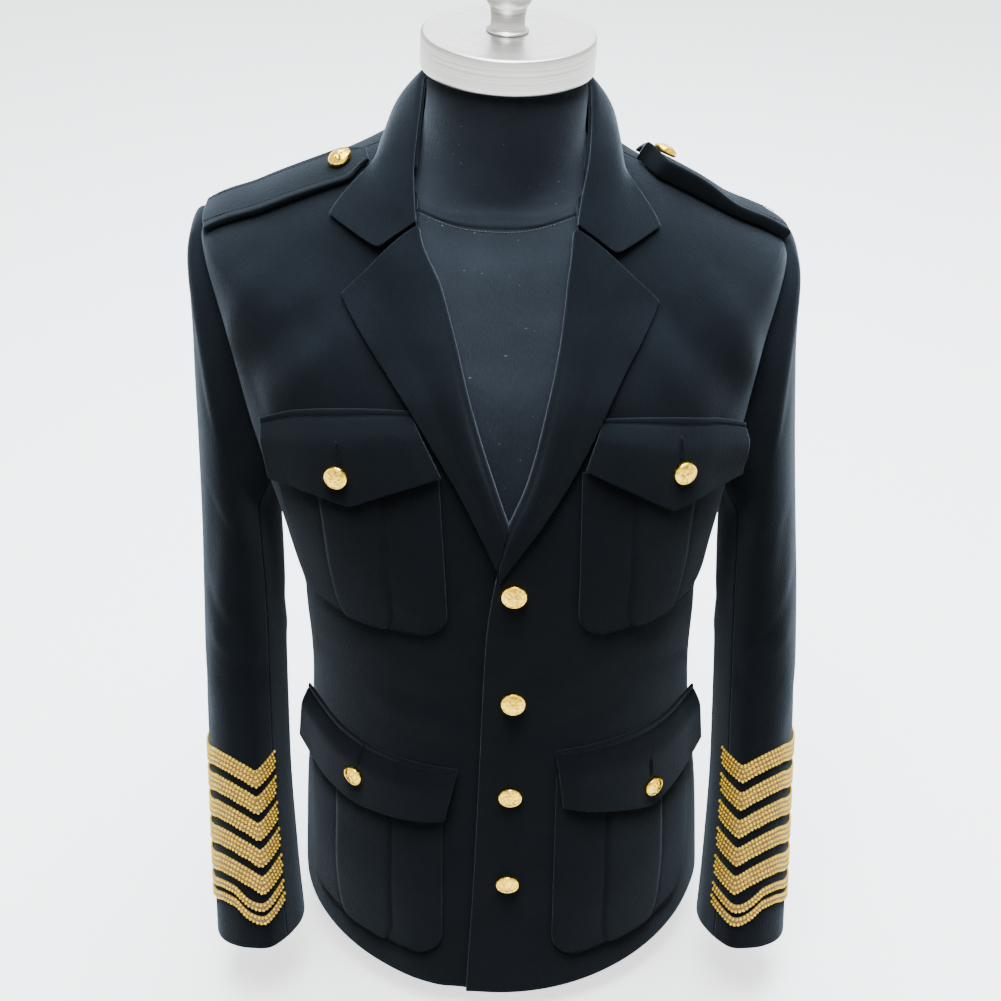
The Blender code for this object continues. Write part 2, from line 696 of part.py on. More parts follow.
def flap_point(flap, side, share, v, out):
    """A point of a flap where it lies on the cloth."""
    inner = flap.inner_top + (flap.inner_bottom - flap.inner_top) * v
    width = flap.width - max(0.0, inner - flap.inner_bottom)
    return patch_point(inner, flap_level(flap, share, v), width * share, side, out)


def pocket_flap(name, side, flap, out):
    """A pocket flap with a pointed lower edge. Its outer end goes on straight."""
    def place(share, v):
        lift = FACED + TOUCH + (out - FACED - TOUCH) * ramp(v, 0.0, 0.4) + 0.0012 * v
        start = min(share, flap.straight)
        edge = flap_point(flap, side, start, v, lift)
        if share <= start:
            return edge
        before = flap_point(flap, side, start - 0.03, v, lift)
        straight = edge + (edge - before).normalized() * (share - start) * flap.width
        level = flap_level(flap, share, v)
        straight.z = edge.z + (level - flap_level(flap, start, v))
        return straight

    return shell(name, spread(0.0, 1.0, 9), [0.0, 0.3, 0.65, 1.0], place, FACED)


def button(name, radius, point, facing):
    """A domed shank button, with its flat back against the cloth."""
    profile = (
        (0.0, BUTTON_HEIGHT),
        (radius * 0.45, BUTTON_HEIGHT * 0.93),
        (radius * 0.82, BUTTON_HEIGHT * 0.64),
        (radius, BUTTON_HEIGHT * 0.26),
        (radius * 0.94, 0.0),
        (0.0, 0.0),
    )
    made = turned(name, profile, 16, "gold")
    made.matrix_world = Matrix.Translation(point) @ facing.to_track_quat("Z", "Y").to_matrix().to_4x4()
    return made


def tipped(facing, degrees):
    """A facing tilted up by some degrees."""
    side = facing.cross(Vector((0.0, 0.0, 1.0))).normalized()
    return Matrix.Rotation(math.radians(degrees), 3, side) @ facing


def front_button(row):
    """A button of the front closing."""
    turn = turn_at(row.across, row.level)
    facing = tipped(outward(turn, row.level), row.tilt)
    clear = 0.94 * FRONT_BUTTON_RADIUS * math.sin(math.radians(abs(row.tilt))) - 0.4 * TOUCH
    return button(row.name, FRONT_BUTTON_RADIUS, cloth(turn, row.level, clear), facing)


def flap_button(name, side, flap, out):
    """The button that closes a flap."""
    v = flap.drop / (flap.top - flap.fall * 0.25 - flap_level(flap, 0.5, 1.0))
    seat = out + 0.0012 * v + TOUCH
    point = flap_point(flap, side, 0.5, v, seat)
    beyond = flap_point(flap, side, 0.5, v, seat + 0.01)
    return button(name, SMALL_BUTTON_RADIUS, point, beyond - point)


def strap_point(side, strap, share, along, out):
    """A point on a shoulder strap: share 0 to 1 from front to back, along 0 to 1 outwards."""
    level = strap.neck_level + (STRAP_END_LEVEL - strap.neck_level) * along
    width = strap.neck_width + (strap.sleeve_width - strap.neck_width) * along
    tip = ramp(along, 0.0, 0.16)
    narrow = STRAP_TIP + (width - STRAP_TIP) * tip
    y = strap.front_y + (width - narrow) / 2.0 + narrow * share
    ring = ring_at(BODY, level)
    deep = ring.front_y if y < 0.0 else ring.back_y
    angle = math.degrees(math.acos((y / deep) ** (ring.square / 2.0)))
    turn = angle if y < 0.0 else 180.0 - angle
    lift = strap.lift * ramp(along, 0.1, 0.5) + strap.neck_lift * (1.0 - ramp(along, 0.1, 0.7))
    return cloth(turn * side, level, out + lift * (1.0 - share))


def epaulette(side_name, side):
    """A shoulder strap from the sleeve head to its button by the collar."""
    strap = STRAPS[side_name]

    def place(share, along, depth):
        lie = LIE + TOUCH - LIE * ramp(along, 0.8, 1.0)
        return strap_point(side, strap, share, along, STRAP_WALL + lie - depth)

    alongs = [0.0, 0.05, 0.1, 0.17, 0.3, 0.45, 0.6, 0.75, 0.9, 1.0]
    wall("epaulette_" + side_name, spread(0.0, 1.0, 6), alongs, place, STRAP_WALL)
    top = STRAP_WALL + LIE + TOUCH
    point = strap_point(side, strap, 0.5, BUTTON_ALONG, top)
    back = strap_point(side, strap, 0.8, BUTTON_ALONG, top) - strap_point(side, strap, 0.2, BUTTON_ALONG, top)
    away = strap_point(side, strap, 0.5, 0.2, top) - strap_point(side, strap, 0.5, 0.08, top)
    facing = back.cross(away).normalized() * -side
    button("epaulette_button_" + side_name, SMALL_BUTTON_RADIUS, point + facing * BUTTON_CLEAR, facing)


def chevron(side_name, side, number):
    """One braid chevron round the front and outside of a cuff."""
    cuff = CUFFS[side_name]

    def place(around, share, depth):
        away = cuff.apex - around
        rise = smooth(OUTER_ARM, away, "rise") if away > 0.0 else math.radians(-away) * CUFF_RADIUS * cuff.climb
        along = cuff.first + cuff.pitch * number - rise + (share - 0.5) * CHEVRON_WIDTH
        hump = abs(math.sin(2.0 * math.pi * share))
        return sleeve(side, around, along, LIE if depth else BRAID + LIE + BRAID_RISE * hump)

    arounds = [cuff.inner, (2.0 * cuff.inner + cuff.apex) / 3.0, (cuff.inner + 2.0 * cuff.apex) / 3.0, cuff.apex]
    arounds += [90.0, 76.0, 58.0, 36.0, 12.0, -12.0, -38.0, CHEVRON_OUTER]
    name = "chevron_" + side_name + "_" + str(number + 1)
    return wall(name, arounds, [0.0, 0.25, 0.5, 0.75, 1.0], place, BRAID, "braid")


def dress_form():
    """The limbless form: one closed body with a flat base and a flat top to its neck."""
    turns = spread(-180.0, 180.0, 33)
    levels = [0.0, 0.012, 0.08, 0.15, 0.23, 0.30, 0.37, 0.44, 0.50]
    levels += [0.56, 0.605, 0.645, 0.676, 0.70, 0.73, 0.757, 0.78, 0.803, 0.824, 0.837, 0.853, 0.88, 0.905]

    def place(turn, level):
        return settle(ring_point(ring_at(FORM, level), turn))

    shape, _ = grid_shape(turns, levels, place)
    bmesh.ops.remove_doubles(shape, verts=shape.verts, dist=0.00002)
    rims = [edge for edge in shape.edges if edge.is_boundary]
    bmesh.ops.holes_fill(shape, edges=rims, sides=0)
    bmesh.ops.recalc_face_normals(shape, faces=shape.faces)
    mesh = bpy.data.meshes.new("form_body")
    shape.to_mesh(mesh)
    shape.free()
    return add_object("form_body", mesh, "jersey")


def neck_cap():
    """The brushed cap on the form's neck, with a stem and a ball on it."""
    seat = settle(Vector((0.0, 0.0, FORM[-1].side_z)))
    up = Matrix.Rotation(math.radians(CAP_TILT), 4, "Y")
    cap = turned("neck_cap", (
        (0.0, CAP_HEIGHT + 0.0008),
        (CAP_RADIUS * 0.70, CAP_HEIGHT + 0.0004),
        (CAP_RADIUS - 0.0022, CAP_HEIGHT),
        (CAP_RADIUS - 0.0006, CAP_HEIGHT - 0.0006),
        (CAP_RADIUS, CAP_HEIGHT - 0.0022),
        (CAP_RADIUS, 0.0012),
        (CAP_RADIUS - 0.0008, 0.0),
        (0.0, 0.0),
    ), 36, "steel")
    cap.matrix_world = Matrix.Translation(seat + Vector((0.0, 0.0, 0.0004))) @ up
    ball = [(0.0, STEM_HEIGHT + 2.0 * BALL_RADIUS * 0.94)]
    for angle in (60, 30, 0, -30):
        rise = STEM_HEIGHT + BALL_RADIUS * (0.94 + math.sin(math.radians(angle)) * 0.94)
        ball.append((BALL_RADIUS * math.cos(math.radians(angle)), rise))
    profile = ball + [(STEM_RADIUS, STEM_HEIGHT), (STEM_RADIUS, 0.002), (STEM_RADIUS * 1.25, 0.0), (0.0, 0.0)]
    finial = turned("finial", profile, 20, "steel")
    lift = Vector((0.0, 0.0, 0.0004 + CAP_HEIGHT + 0.0012))
    finial.matrix_world = Matrix.Translation(seat + lift) @ up


def build():
    """Make every piece."""
    for old in list(bpy.data.objects):
        bpy.data.objects.remove(old, do_unlink=True)
    parts = bpy.data.collections.new("dress_blazer")
    bpy.context.scene.collection.children.link(parts)
    dress_form()
    neck_cap()
    collar_fall()
    collar_stand()
    for side_name, side in SIDES:
        front_panel(side_name, side)
        back_panel(side_name, side)
        lapel(side_name, side)
        sleeve_piece("topsleeve_" + side_name, side, HINDARM, INSEAM, 15)
        sleeve_piece("undersleeve_" + side_name, side, INSEAM, HINDARM + 360.0, 11)
        epaulette(side_name, side)
        patch_pocket("breast_pocket_" + side_name, side, BREAST_POCKETS[side_name])
        patch_pocket("lower_pocket_" + side_name, side, LOWER_POCKETS[side_name])
        above = CLOTH + FACED + 2.0 * LIE + PLEAT_RISE + 0.0004
        pocket_flap("breast_flap_" + side_name, side, BREAST_FLAPS[side_name], above)
        pocket_flap("lower_flap_" + side_name, side, LOWER_FLAPS[side_name], above)
        flap_button("breast_button_" + side_name, side, BREAST_FLAPS[side_name], above)
        flap_button("lower_button_" + side_name, side, LOWER_FLAPS[side_name], above)
        for number in range(CHEVRONS):
            chevron(side_name, side, number)
    for row in FRONT_BUTTONS:
        front_button(row)


build()
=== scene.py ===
# %% [markdown]
# # A braided dress blazer on a limbless dress form
# The garment is a short, dark wool jacket with notched lapels, four patch pockets, shoulder
# straps and rows of looped gold braid on the cuffs. It hangs on a jersey-covered form.
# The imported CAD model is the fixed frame: it says where every piece sits. This script dresses
# that frame. Each cloth solid is replaced by a finer wall on the same surface, with creases,
# rolled edges and stitches, and the hard pieces get their turned and chased detail.

# %% Load the frame
import math
from collections import namedtuple
from functools import lru_cache

import bmesh
import bpy
from mathutils import Matrix, Vector


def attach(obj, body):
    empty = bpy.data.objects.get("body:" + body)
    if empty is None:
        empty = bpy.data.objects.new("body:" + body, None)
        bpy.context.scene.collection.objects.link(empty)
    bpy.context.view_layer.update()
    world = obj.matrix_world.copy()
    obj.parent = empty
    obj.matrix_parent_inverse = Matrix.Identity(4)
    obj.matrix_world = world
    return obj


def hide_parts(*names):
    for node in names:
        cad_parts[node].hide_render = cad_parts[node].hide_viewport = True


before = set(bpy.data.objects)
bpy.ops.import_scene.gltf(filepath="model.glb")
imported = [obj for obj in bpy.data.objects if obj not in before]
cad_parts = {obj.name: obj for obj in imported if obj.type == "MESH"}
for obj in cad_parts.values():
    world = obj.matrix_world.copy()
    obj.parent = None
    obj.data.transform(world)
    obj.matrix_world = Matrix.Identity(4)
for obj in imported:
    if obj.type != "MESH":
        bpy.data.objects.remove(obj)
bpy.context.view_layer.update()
print("frame:", len(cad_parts), "nodes")

# %% [markdown]
# ## The surface that all cloth follows
# A tailor thinks of a jacket as one shape over the body, cut into panels. Here that shape is a
# stack of rings. A ring is a squared oval with its own height at the front, side and back, so
# the rings can climb over the shoulders to the neck. Between rings a smooth curve is read
# from the table. A point is then named by its turn round the body and its level up the cloth.

# %% Rings of the jacket and of the form
Ring = namedtuple("Ring", "level front_z side_z back_z half_width front_y back_y square")
RINGS = {
    "jacket": (
        Ring(0.042, 0.022, 0.042, 0.050, 0.1810, -0.157, 0.136, 2.00),
        Ring(0.140, 0.128, 0.140, 0.148, 0.1745, -0.149, 0.132, 2.10),
        Ring(0.230, 0.226, 0.230, 0.236, 0.1650, -0.142, 0.118, 2.20),
        Ring(0.300, 0.298, 0.300, 0.304, 0.1615, -0.141, 0.108, 2.25),
        Ring(0.370, 0.368, 0.370, 0.374, 0.1640, -0.145, 0.111, 2.30),
        Ring(0.440, 0.438, 0.440, 0.444, 0.1740, -0.151, 0.123, 2.45),
        Ring(0.500, 0.496, 0.500, 0.506, 0.1840, -0.153, 0.132, 2.80),
        Ring(0.560, 0.550, 0.560, 0.552, 0.1950, -0.148, 0.135, 3.10),
        Ring(0.620, 0.598, 0.620, 0.594, 0.2060, -0.137, 0.132, 3.00),
        Ring(0.676, 0.630, 0.676, 0.630, 0.2180, -0.120, 0.126, 2.60),
        Ring(0.730, 0.658, 0.702, 0.666, 0.1720, -0.102, 0.116, 2.30),
        Ring(0.780, 0.684, 0.726, 0.698, 0.1230, -0.088, 0.100, 2.20),
        Ring(0.824, 0.702, 0.747, 0.758, 0.0770, -0.074, 0.068, 2.10),
    ),
    "form": (
        Ring(0.000, 0.000, 0.000, 0.000, 0.1480, -0.122, 0.108, 2.10),
        Ring(0.012, 0.012, 0.012, 0.012, 0.1550, -0.130, 0.116, 2.10),
        Ring(0.140, 0.140, 0.140, 0.140, 0.1570, -0.133, 0.118, 2.10),
        Ring(0.230, 0.230, 0.230, 0.230, 0.1500, -0.128, 0.104, 2.15),
        Ring(0.300, 0.300, 0.300, 0.300, 0.1480, -0.128, 0.096, 2.20),
        Ring(0.370, 0.370, 0.370, 0.370, 0.1500, -0.132, 0.099, 2.20),
        Ring(0.440, 0.440, 0.440, 0.440, 0.1560, -0.138, 0.110, 2.30),
        Ring(0.500, 0.500, 0.500, 0.500, 0.1610, -0.140, 0.118, 2.50),
        Ring(0.560, 0.552, 0.560, 0.546, 0.1660, -0.136, 0.121, 2.60),
        Ring(0.620, 0.598, 0.618, 0.588, 0.1720, -0.125, 0.119, 2.50),
        Ring(0.676, 0.628, 0.6790, 0.624, 0.1780, -0.110, 0.114, 2.35),
        Ring(0.730, 0.654, 0.7054, 0.660, 0.1560, -0.0965, 0.106, 2.25),
        Ring(0.780, 0.680, 0.7252, 0.691, 0.1160, -0.083, 0.092, 2.15),
        Ring(0.824, 0.698, 0.7420, 0.746, 0.0690, -0.069, 0.061, 2.05),
        Ring(0.850, 0.722, 0.7600, 0.768, 0.0590, -0.0590, 0.0570, 2.00),
        Ring(0.880, 0.770, 0.7840, 0.788, 0.0578, -0.0580, 0.0570, 2.00),
        Ring(0.905, 0.8015, 0.8015, 0.8015, 0.0578, -0.0580, 0.0570, 2.00),
    ),
}
FRONT_BEND, BACK_BEND = 2.0, 1.4
HEM_LEVEL, BREAK_LEVEL, ARMPIT_LEVEL, POINT_LEVEL, NECK_LEVEL = 0.042, 0.506, 0.470, 0.688, 0.824
CLOTH, FACED, SEAM, LIE, TOUCH = 0.0020, 0.0024, 0.0004, 0.0014, 0.0005
SHOULDER_DROP, SHOULDER_SHIFT, NECK_SHIFT, BALANCE = 0.040, 0.004, 0.009, 0.0112
SIDES = (("left", 1.0), ("right", -1.0))


def ramp(value, low, high):
    """0 below low, 1 above high, and smooth between them."""
    share = min(1.0, max(0.0, (value - low) / (high - low)))
    return share * share * (3.0 - 2.0 * share)


def smooth(rows, key, column):
    """A column of a table at a key, on a smooth curve that doesn't overshoot."""
    last = len(rows) - 1
    index = 0
    while index < last - 1 and key > rows[index + 1][0]:
        index += 1

    def rise(k):
        span = rows[k + 1][0] - rows[k][0]
        return (getattr(rows[k + 1], column) - getattr(rows[k], column)) / span

    def slope(k):
        if k == 0 or k == last:
            return rise(0 if k == 0 else last - 1)
        before, after = rise(k - 1), rise(k)
        return 0.0 if before * after <= 0.0 else 2.0 * before * after / (before + after)

    span = rows[index + 1][0] - rows[index][0]
    t = (key - rows[index][0]) / span
    low, high = getattr(rows[index], column), getattr(rows[index + 1], column)
    return (
        (2 * t**3 - 3 * t**2 + 1) * low
        + (t**3 - 2 * t**2 + t) * slope(index) * span
        + (3 * t**2 - 2 * t**3) * high
        + (t**3 - t**2) * slope(index + 1) * span
    )


@lru_cache(None)
def ring_at(name, level):
    """The ring of the jacket or the form at any level."""
    return Ring(level, *(smooth(RINGS[name], level, column) for column in Ring._fields[1:]))


def ring_point(ring, turn):
    """The point of a ring at a turn in degrees: 0 is the front, 90 the +X side."""
    cosine = math.cos(math.radians(turn))
    sine = math.sin(math.radians(turn))
    power = 2.0 / ring.square
    x = ring.half_width * math.copysign(abs(sine) ** power, sine)
    deep, high, bend = (ring.front_y, ring.front_z, FRONT_BEND)
    if cosine < 0.0:
        deep, high, bend = (ring.back_y, ring.back_z, BACK_BEND)
    y = deep * abs(cosine) ** power
    return Vector((x, y, ring.side_z + (high - ring.side_z) * abs(cosine) ** bend))


@lru_cache(None)
def bare(turn, level):
    """A point of the jacket's surface before folds."""
    return ring_point(ring_at("jacket", level), turn)


@lru_cache(None)
def outward(turn, level):
    """The direction out of the jacket's surface."""
    across = bare(turn + 0.5, level) - bare(turn - 0.5, level)
    up = bare(turn, min(NECK_LEVEL, level + 0.002)) - bare(turn, max(HEM_LEVEL, level - 0.002))
    return across.cross(up).normalized()


def settle(point):
    """Tilt the shoulders, lean the neck as the worn jacket hangs, and centre the whole."""
    weight = ramp(point.z, 0.34, 0.64)
    x = point.x - SHOULDER_SHIFT * weight + NECK_SHIFT * ramp(point.z, 0.70, 0.79)
    return Vector((x, point.y + BALANCE, point.z - SHOULDER_DROP * weight * point.x))


def spread(start, end, count):
    """Evenly spaced values, both ends included."""
    return [start + (end - start) * i / (count - 1) for i in range(count)]


def hemmed(values, margin):
    """The same stations with one more close to each end, so that edges stay crisp."""
    sign = math.copysign(margin, values[-1] - values[0])
    return [values[0], values[0] + sign] + values[1:-1] + [values[-1] - sign, values[-1]]


print("hem width", round(2 * RINGS["jacket"][0].half_width, 3), "m")

# %% [markdown]
# ## Creases
# Worn cloth is never smooth: it drags from the shoulder point to the armhole, breaks at the
# waist and hangs in soft flutes below it. A simulation would place these by chance. Here each
# one is laid as a soft ridge or trough along a line, with its own width and depth, the
# two sides never quite alike. The back and sides get theirs too.

# %% Lay the creases
Crease = namedtuple("Crease", "x0 y0 z0 x1 y1 z1 width depth")
CREASES = (
    Crease(0.118, -0.102, 0.668, 0.174, -0.108, 0.602, 0.013, -0.0032),
    Crease(0.148, -0.080, 0.690, 0.190, -0.090, 0.612, 0.014, 0.0034),
    Crease(-0.140, -0.105, 0.650, -0.180, -0.096, 0.596, 0.013, -0.0032),
    Crease(-0.112, -0.118, 0.640, -0.160, -0.112, 0.590, 0.015, 0.0026),
    Crease(-0.160, -0.080, 0.690, -0.192, -0.085, 0.620, 0.013, 0.0026),
    Crease(0.100, -0.135, 0.372, 0.158, -0.060, 0.330, 0.014, 0.0024),
    Crease(-0.096, -0.135, 0.376, -0.158, -0.060, 0.345, 0.014, 0.0024),
    Crease(0.060, 0.112, 0.345, 0.150, 0.065, 0.300, 0.018, 0.0022),
    Crease(-0.055, 0.112, 0.330, -0.150, 0.065, 0.310, 0.018, 0.0022),
    Crease(0.140, -0.098, 0.640, 0.176, -0.105, 0.575, 0.009, 0.0012),
    Crease(0.110, -0.118, 0.640, 0.150, -0.122, 0.590, 0.012, 0.0010),
    Crease(-0.128, -0.110, 0.640, -0.172, -0.104, 0.585, 0.009, -0.0012),
    Crease(0.172, -0.062, 0.520, 0.150, -0.115, 0.545, 0.008, -0.0012),
    Crease(-0.172, -0.062, 0.515, -0.152, -0.112, 0.548, 0.009, -0.0013),
    Crease(0.020, -0.150, 0.452, 0.070, -0.146, 0.470, 0.012, 0.0011),
    Crease(-0.010, -0.150, 0.448, -0.062, -0.146, 0.430, 0.012, 0.0011),
    Crease(0.022, -0.145, 0.342, 0.080, -0.135, 0.360, 0.013, 0.0012),
    Crease(-0.018, -0.145, 0.345, -0.075, -0.136, 0.330, 0.012, -0.0011),
    Crease(-0.020, -0.142, 0.300, -0.090, -0.125, 0.318, 0.014, 0.0012),
    Crease(0.030, -0.142, 0.300, 0.095, -0.125, 0.322, 0.012, -0.0010),
    Crease(0.148, -0.070, 0.395, 0.166, 0.010, 0.352, 0.014, -0.0018),
    Crease(-0.146, -0.074, 0.400, -0.166, 0.006, 0.362, 0.013, -0.0018),
    Crease(0.160, 0.010, 0.345, 0.150, 0.070, 0.372, 0.012, 0.0016),
    Crease(-0.160, 0.012, 0.322, -0.148, 0.072, 0.352, 0.012, 0.0016),
    Crease(0.020, -0.152, 0.060, 0.022, -0.148, 0.190, 0.020, -0.0014),
    Crease(-0.075, -0.140, 0.040, -0.070, -0.135, 0.150, 0.018, 0.0013),
    Crease(0.178, -0.020, 0.050, 0.168, -0.020, 0.200, 0.020, 0.0020),
    Crease(-0.178, 0.020, 0.050, -0.168, 0.020, 0.210, 0.022, 0.0022),
    Crease(0.150, 0.080, 0.050, 0.138, 0.080, 0.230, 0.020, -0.0022),
    Crease(-0.128, 0.095, 0.050, -0.118, 0.092, 0.220, 0.020, -0.0020),
    Crease(0.085, 0.120, 0.060, 0.078, 0.110, 0.260, 0.020, 0.0022),
    Crease(-0.070, 0.124, 0.060, -0.066, 0.112, 0.250, 0.022, 0.0022),
    Crease(0.095, 0.125, 0.600, 0.088, 0.118, 0.440, 0.022, 0.0026),
    Crease(-0.100, 0.125, 0.590, -0.086, 0.118, 0.430, 0.022, 0.0024),
    Crease(0.160, 0.092, 0.600, 0.128, 0.110, 0.470, 0.016, -0.0024),
    Crease(-0.158, 0.094, 0.610, -0.130, 0.110, 0.480, 0.016, -0.0024),
    Crease(0.060, 0.116, 0.700, -0.050, 0.118, 0.694, 0.012, -0.0012),
    Crease(0.030, 0.112, 0.378, 0.120, 0.095, 0.350, 0.011, -0.0014),
    Crease(-0.036, 0.112, 0.366, -0.118, 0.094, 0.344, 0.011, -0.0014),
)
LINES = [(Vector(c[0:3]), Vector(c[3:6]) - Vector(c[0:3]), c.width, c.depth) for c in CREASES]


@lru_cache(None)
def crease_height(x, y, z):
    """How far the creases lift the cloth at a point."""
    point = Vector((x, y, z))
    height = 0.0
    for start, run, width, depth in LINES:
        share = min(1.0, max(0.0, (point - start).dot(run) / run.length_squared))
        away = (point - start - run * share).length
        if away < 2.6 * width:
            height += depth * math.exp(-((away / width) ** 2))
    return height


def cloth(turn, level, out=0.0):
    """A point of the jacket's cloth, moved out along its normal."""
    point = bare(turn, level)
    return settle(point + outward(turn, level) * (out + crease_height(*point)))


print(len(CREASES), "creases on the body")

# %% [markdown]
# ## Helpers for a cloth wall
# A piece of cloth is a grid that a function bends into place. The grid is extruded to the same
# points a thickness further in, so it has two faces and a real edge, and one subdivision
# rounds that edge. Its UV map is in metres of cloth, so a weave keeps its true size.

# %% Make cloth walls
blazer = bpy.data.collections.new("dress_blazer")
bpy.context.scene.collection.children.link(blazer)
finishes = {}


def add_piece(name, shape, finish, *nodes):
    """A finished mesh as a piece that rides on the frame and replaces its plain nodes."""
    mesh = bpy.data.meshes.new(name)
    shape.to_mesh(mesh)
    shape.free()
    piece = bpy.data.objects.new(name, mesh)
    blazer.objects.link(piece)
    mesh.materials.append(finishes[finish][0])
    mesh.shade_smooth()
    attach(piece, "root")
    if nodes:
        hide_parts(*nodes)
    return piece


def wall(name, us, vs, place, finish, *nodes, thickness=CLOTH, rounds=1):
    """A cloth wall: a grid on its outer side, and the same grid a thickness further in."""
    shape = bmesh.new()
    bmesh.ops.create_grid(shape, x_segments=len(us) - 1, y_segments=len(vs) - 1, size=0.5)
    cell = shape.verts.layers.int.new("cell")
    for vert in shape.verts:
        column = round((vert.co.x + 0.5) * (len(us) - 1))
        row = round((vert.co.y + 0.5) * (len(vs) - 1))
        vert[cell] = row * len(us) + column
        vert.co = place(us[column], vs[row], 0.0)
    where = {vert[cell]: vert.co.copy() for vert in shape.verts}
    middle_row, middle_column = len(vs) // 2, len(us) // 2
    run = [0.0]
    for column in range(1, len(us)):
        here = middle_row * len(us) + column
        run.append(run[-1] + (where[here] - where[here - 1]).length)
    fall = [0.0]
    for row in range(1, len(vs)):
        here = row * len(us) + middle_column
        fall.append(fall[-1] + (where[here] - where[here - len(us)]).length)
    grown = bmesh.ops.extrude_face_region(shape, geom=shape.faces[:], use_keep_orig=True)
    for vert in grown["geom"]:
        if isinstance(vert, bmesh.types.BMVert):
            row, column = divmod(vert[cell], len(us))
            vert.co = place(us[column], vs[row], thickness)
    bmesh.ops.recalc_face_normals(shape, faces=shape.faces)
    map_layer = shape.loops.layers.uv.new("cut")
    for face in shape.faces:
        for loop in face.loops:
            row, column = divmod(loop.vert[cell], len(us))
            loop[map_layer].uv = (run[column], fall[row])
    area = sum(face.calc_area() for face in shape.faces) / 2.0
    piece = add_piece(name, shape, finish, *nodes)
    if rounds:
        rounding = piece.modifiers.new("soft_edges", "SUBSURF")
        rounding.levels = rounds
        rounding.render_levels = rounds
    piece["cut_width"], piece["cut_length"], piece["cut_area"] = run[-1], fall[-1], area
    return piece


def declare_sheet(piece):
    """Say what cut of cloth a piece is: its width, its length and its area."""
    width, length, area = piece["cut_width"], piece["cut_length"], piece["cut_area"]
    grow = max(1.0, math.sqrt(area / (width * length)))
    flat = (round(width * grow, 4), round(length * grow, 4))
    round(min(area, flat[0] * flat[1]), 5)
    print(f"{piece.name}: cut {flat[0]:.3f} x {flat[1]:.3f} m, {area:.4f} square metres")


# %% [markdown]
# ## Finishes
# The jacket is a navy-black wool twill with a short nap. Close to, fine diagonal ribs cross it
# about a millimetre apart. A sheen layer lifts the colour
# where the cloth turns away, which is what makes black wool read as cloth. The form wears a
# black stretch jersey, a touch lighter, with fine upright ribs and a few specks of lint. The
# buttons are gilt, the
# braid is looped metallic thread, and the cap is brushed steel.


# %% Build the materials
def start_material(name, colour, roughness, metallic=0.0):
    """A new material with its Principled shader, ready for more nodes."""
    made = bpy.data.materials.new(name)
    made.use_nodes = True
    shader = made.node_tree.nodes["Principled BSDF"]
    shader.inputs["Base Color"].default_value = (*colour, 1.0)
    shader.inputs["Roughness"].default_value = roughness
    shader.inputs["Metallic"].default_value = metallic
    return made, made.node_tree, shader


def add_noise(tree, source, scale, detail=3.0):
    """A noise texture on the given coordinates."""
    noise = tree.nodes.new("ShaderNodeTexNoise")
    noise.inputs["Scale"].default_value = scale
    noise.inputs["Detail"].default_value = detail
    tree.links.new(source, noise.inputs["Vector"])
    return noise.outputs["Fac"]


def add_ramp(tree, factor, stops):
    """A colour ramp from (place, colour) stops."""
    node = tree.nodes.new("ShaderNodeValToRGB")
    while len(node.color_ramp.elements) < len(stops):
        node.color_ramp.elements.new(0.5)
    for element, (place, colour) in zip(node.color_ramp.elements, stops):
        element.position = place
        element.color = (*colour, 1.0)
    tree.links.new(factor, node.inputs["Fac"])
    return node.outputs["Color"]


def add_math(tree, operation, first, second):
    """A math node of two values, each a socket or a number."""
    node = tree.nodes.new("ShaderNodeMath")
    node.operation = operation
    for socket, value in zip(node.inputs, (first, second)):
        if isinstance(value, float):
            socket.default_value = value
        else:
            tree.links.new(value, socket)
    return node.outputs["Value"]


def add_bump(tree, shader, height, strength, distance):
    """A bump into the shader's normal."""
    bump = tree.nodes.new("ShaderNodeBump")
    bump.inputs["Strength"].default_value = strength
    bump.inputs["Distance"].default_value = distance
    tree.links.new(height, bump.inputs["Height"])
    tree.links.new(bump.outputs["Normal"], shader.inputs["Normal"])


CLOTH_ROUGHNESS, CLOTH_GLOSS, SHEEN_ROUGHNESS, SHEEN_TINT = 0.95, 0.04, 0.42, (0.74, 0.86, 1.0, 1.0)


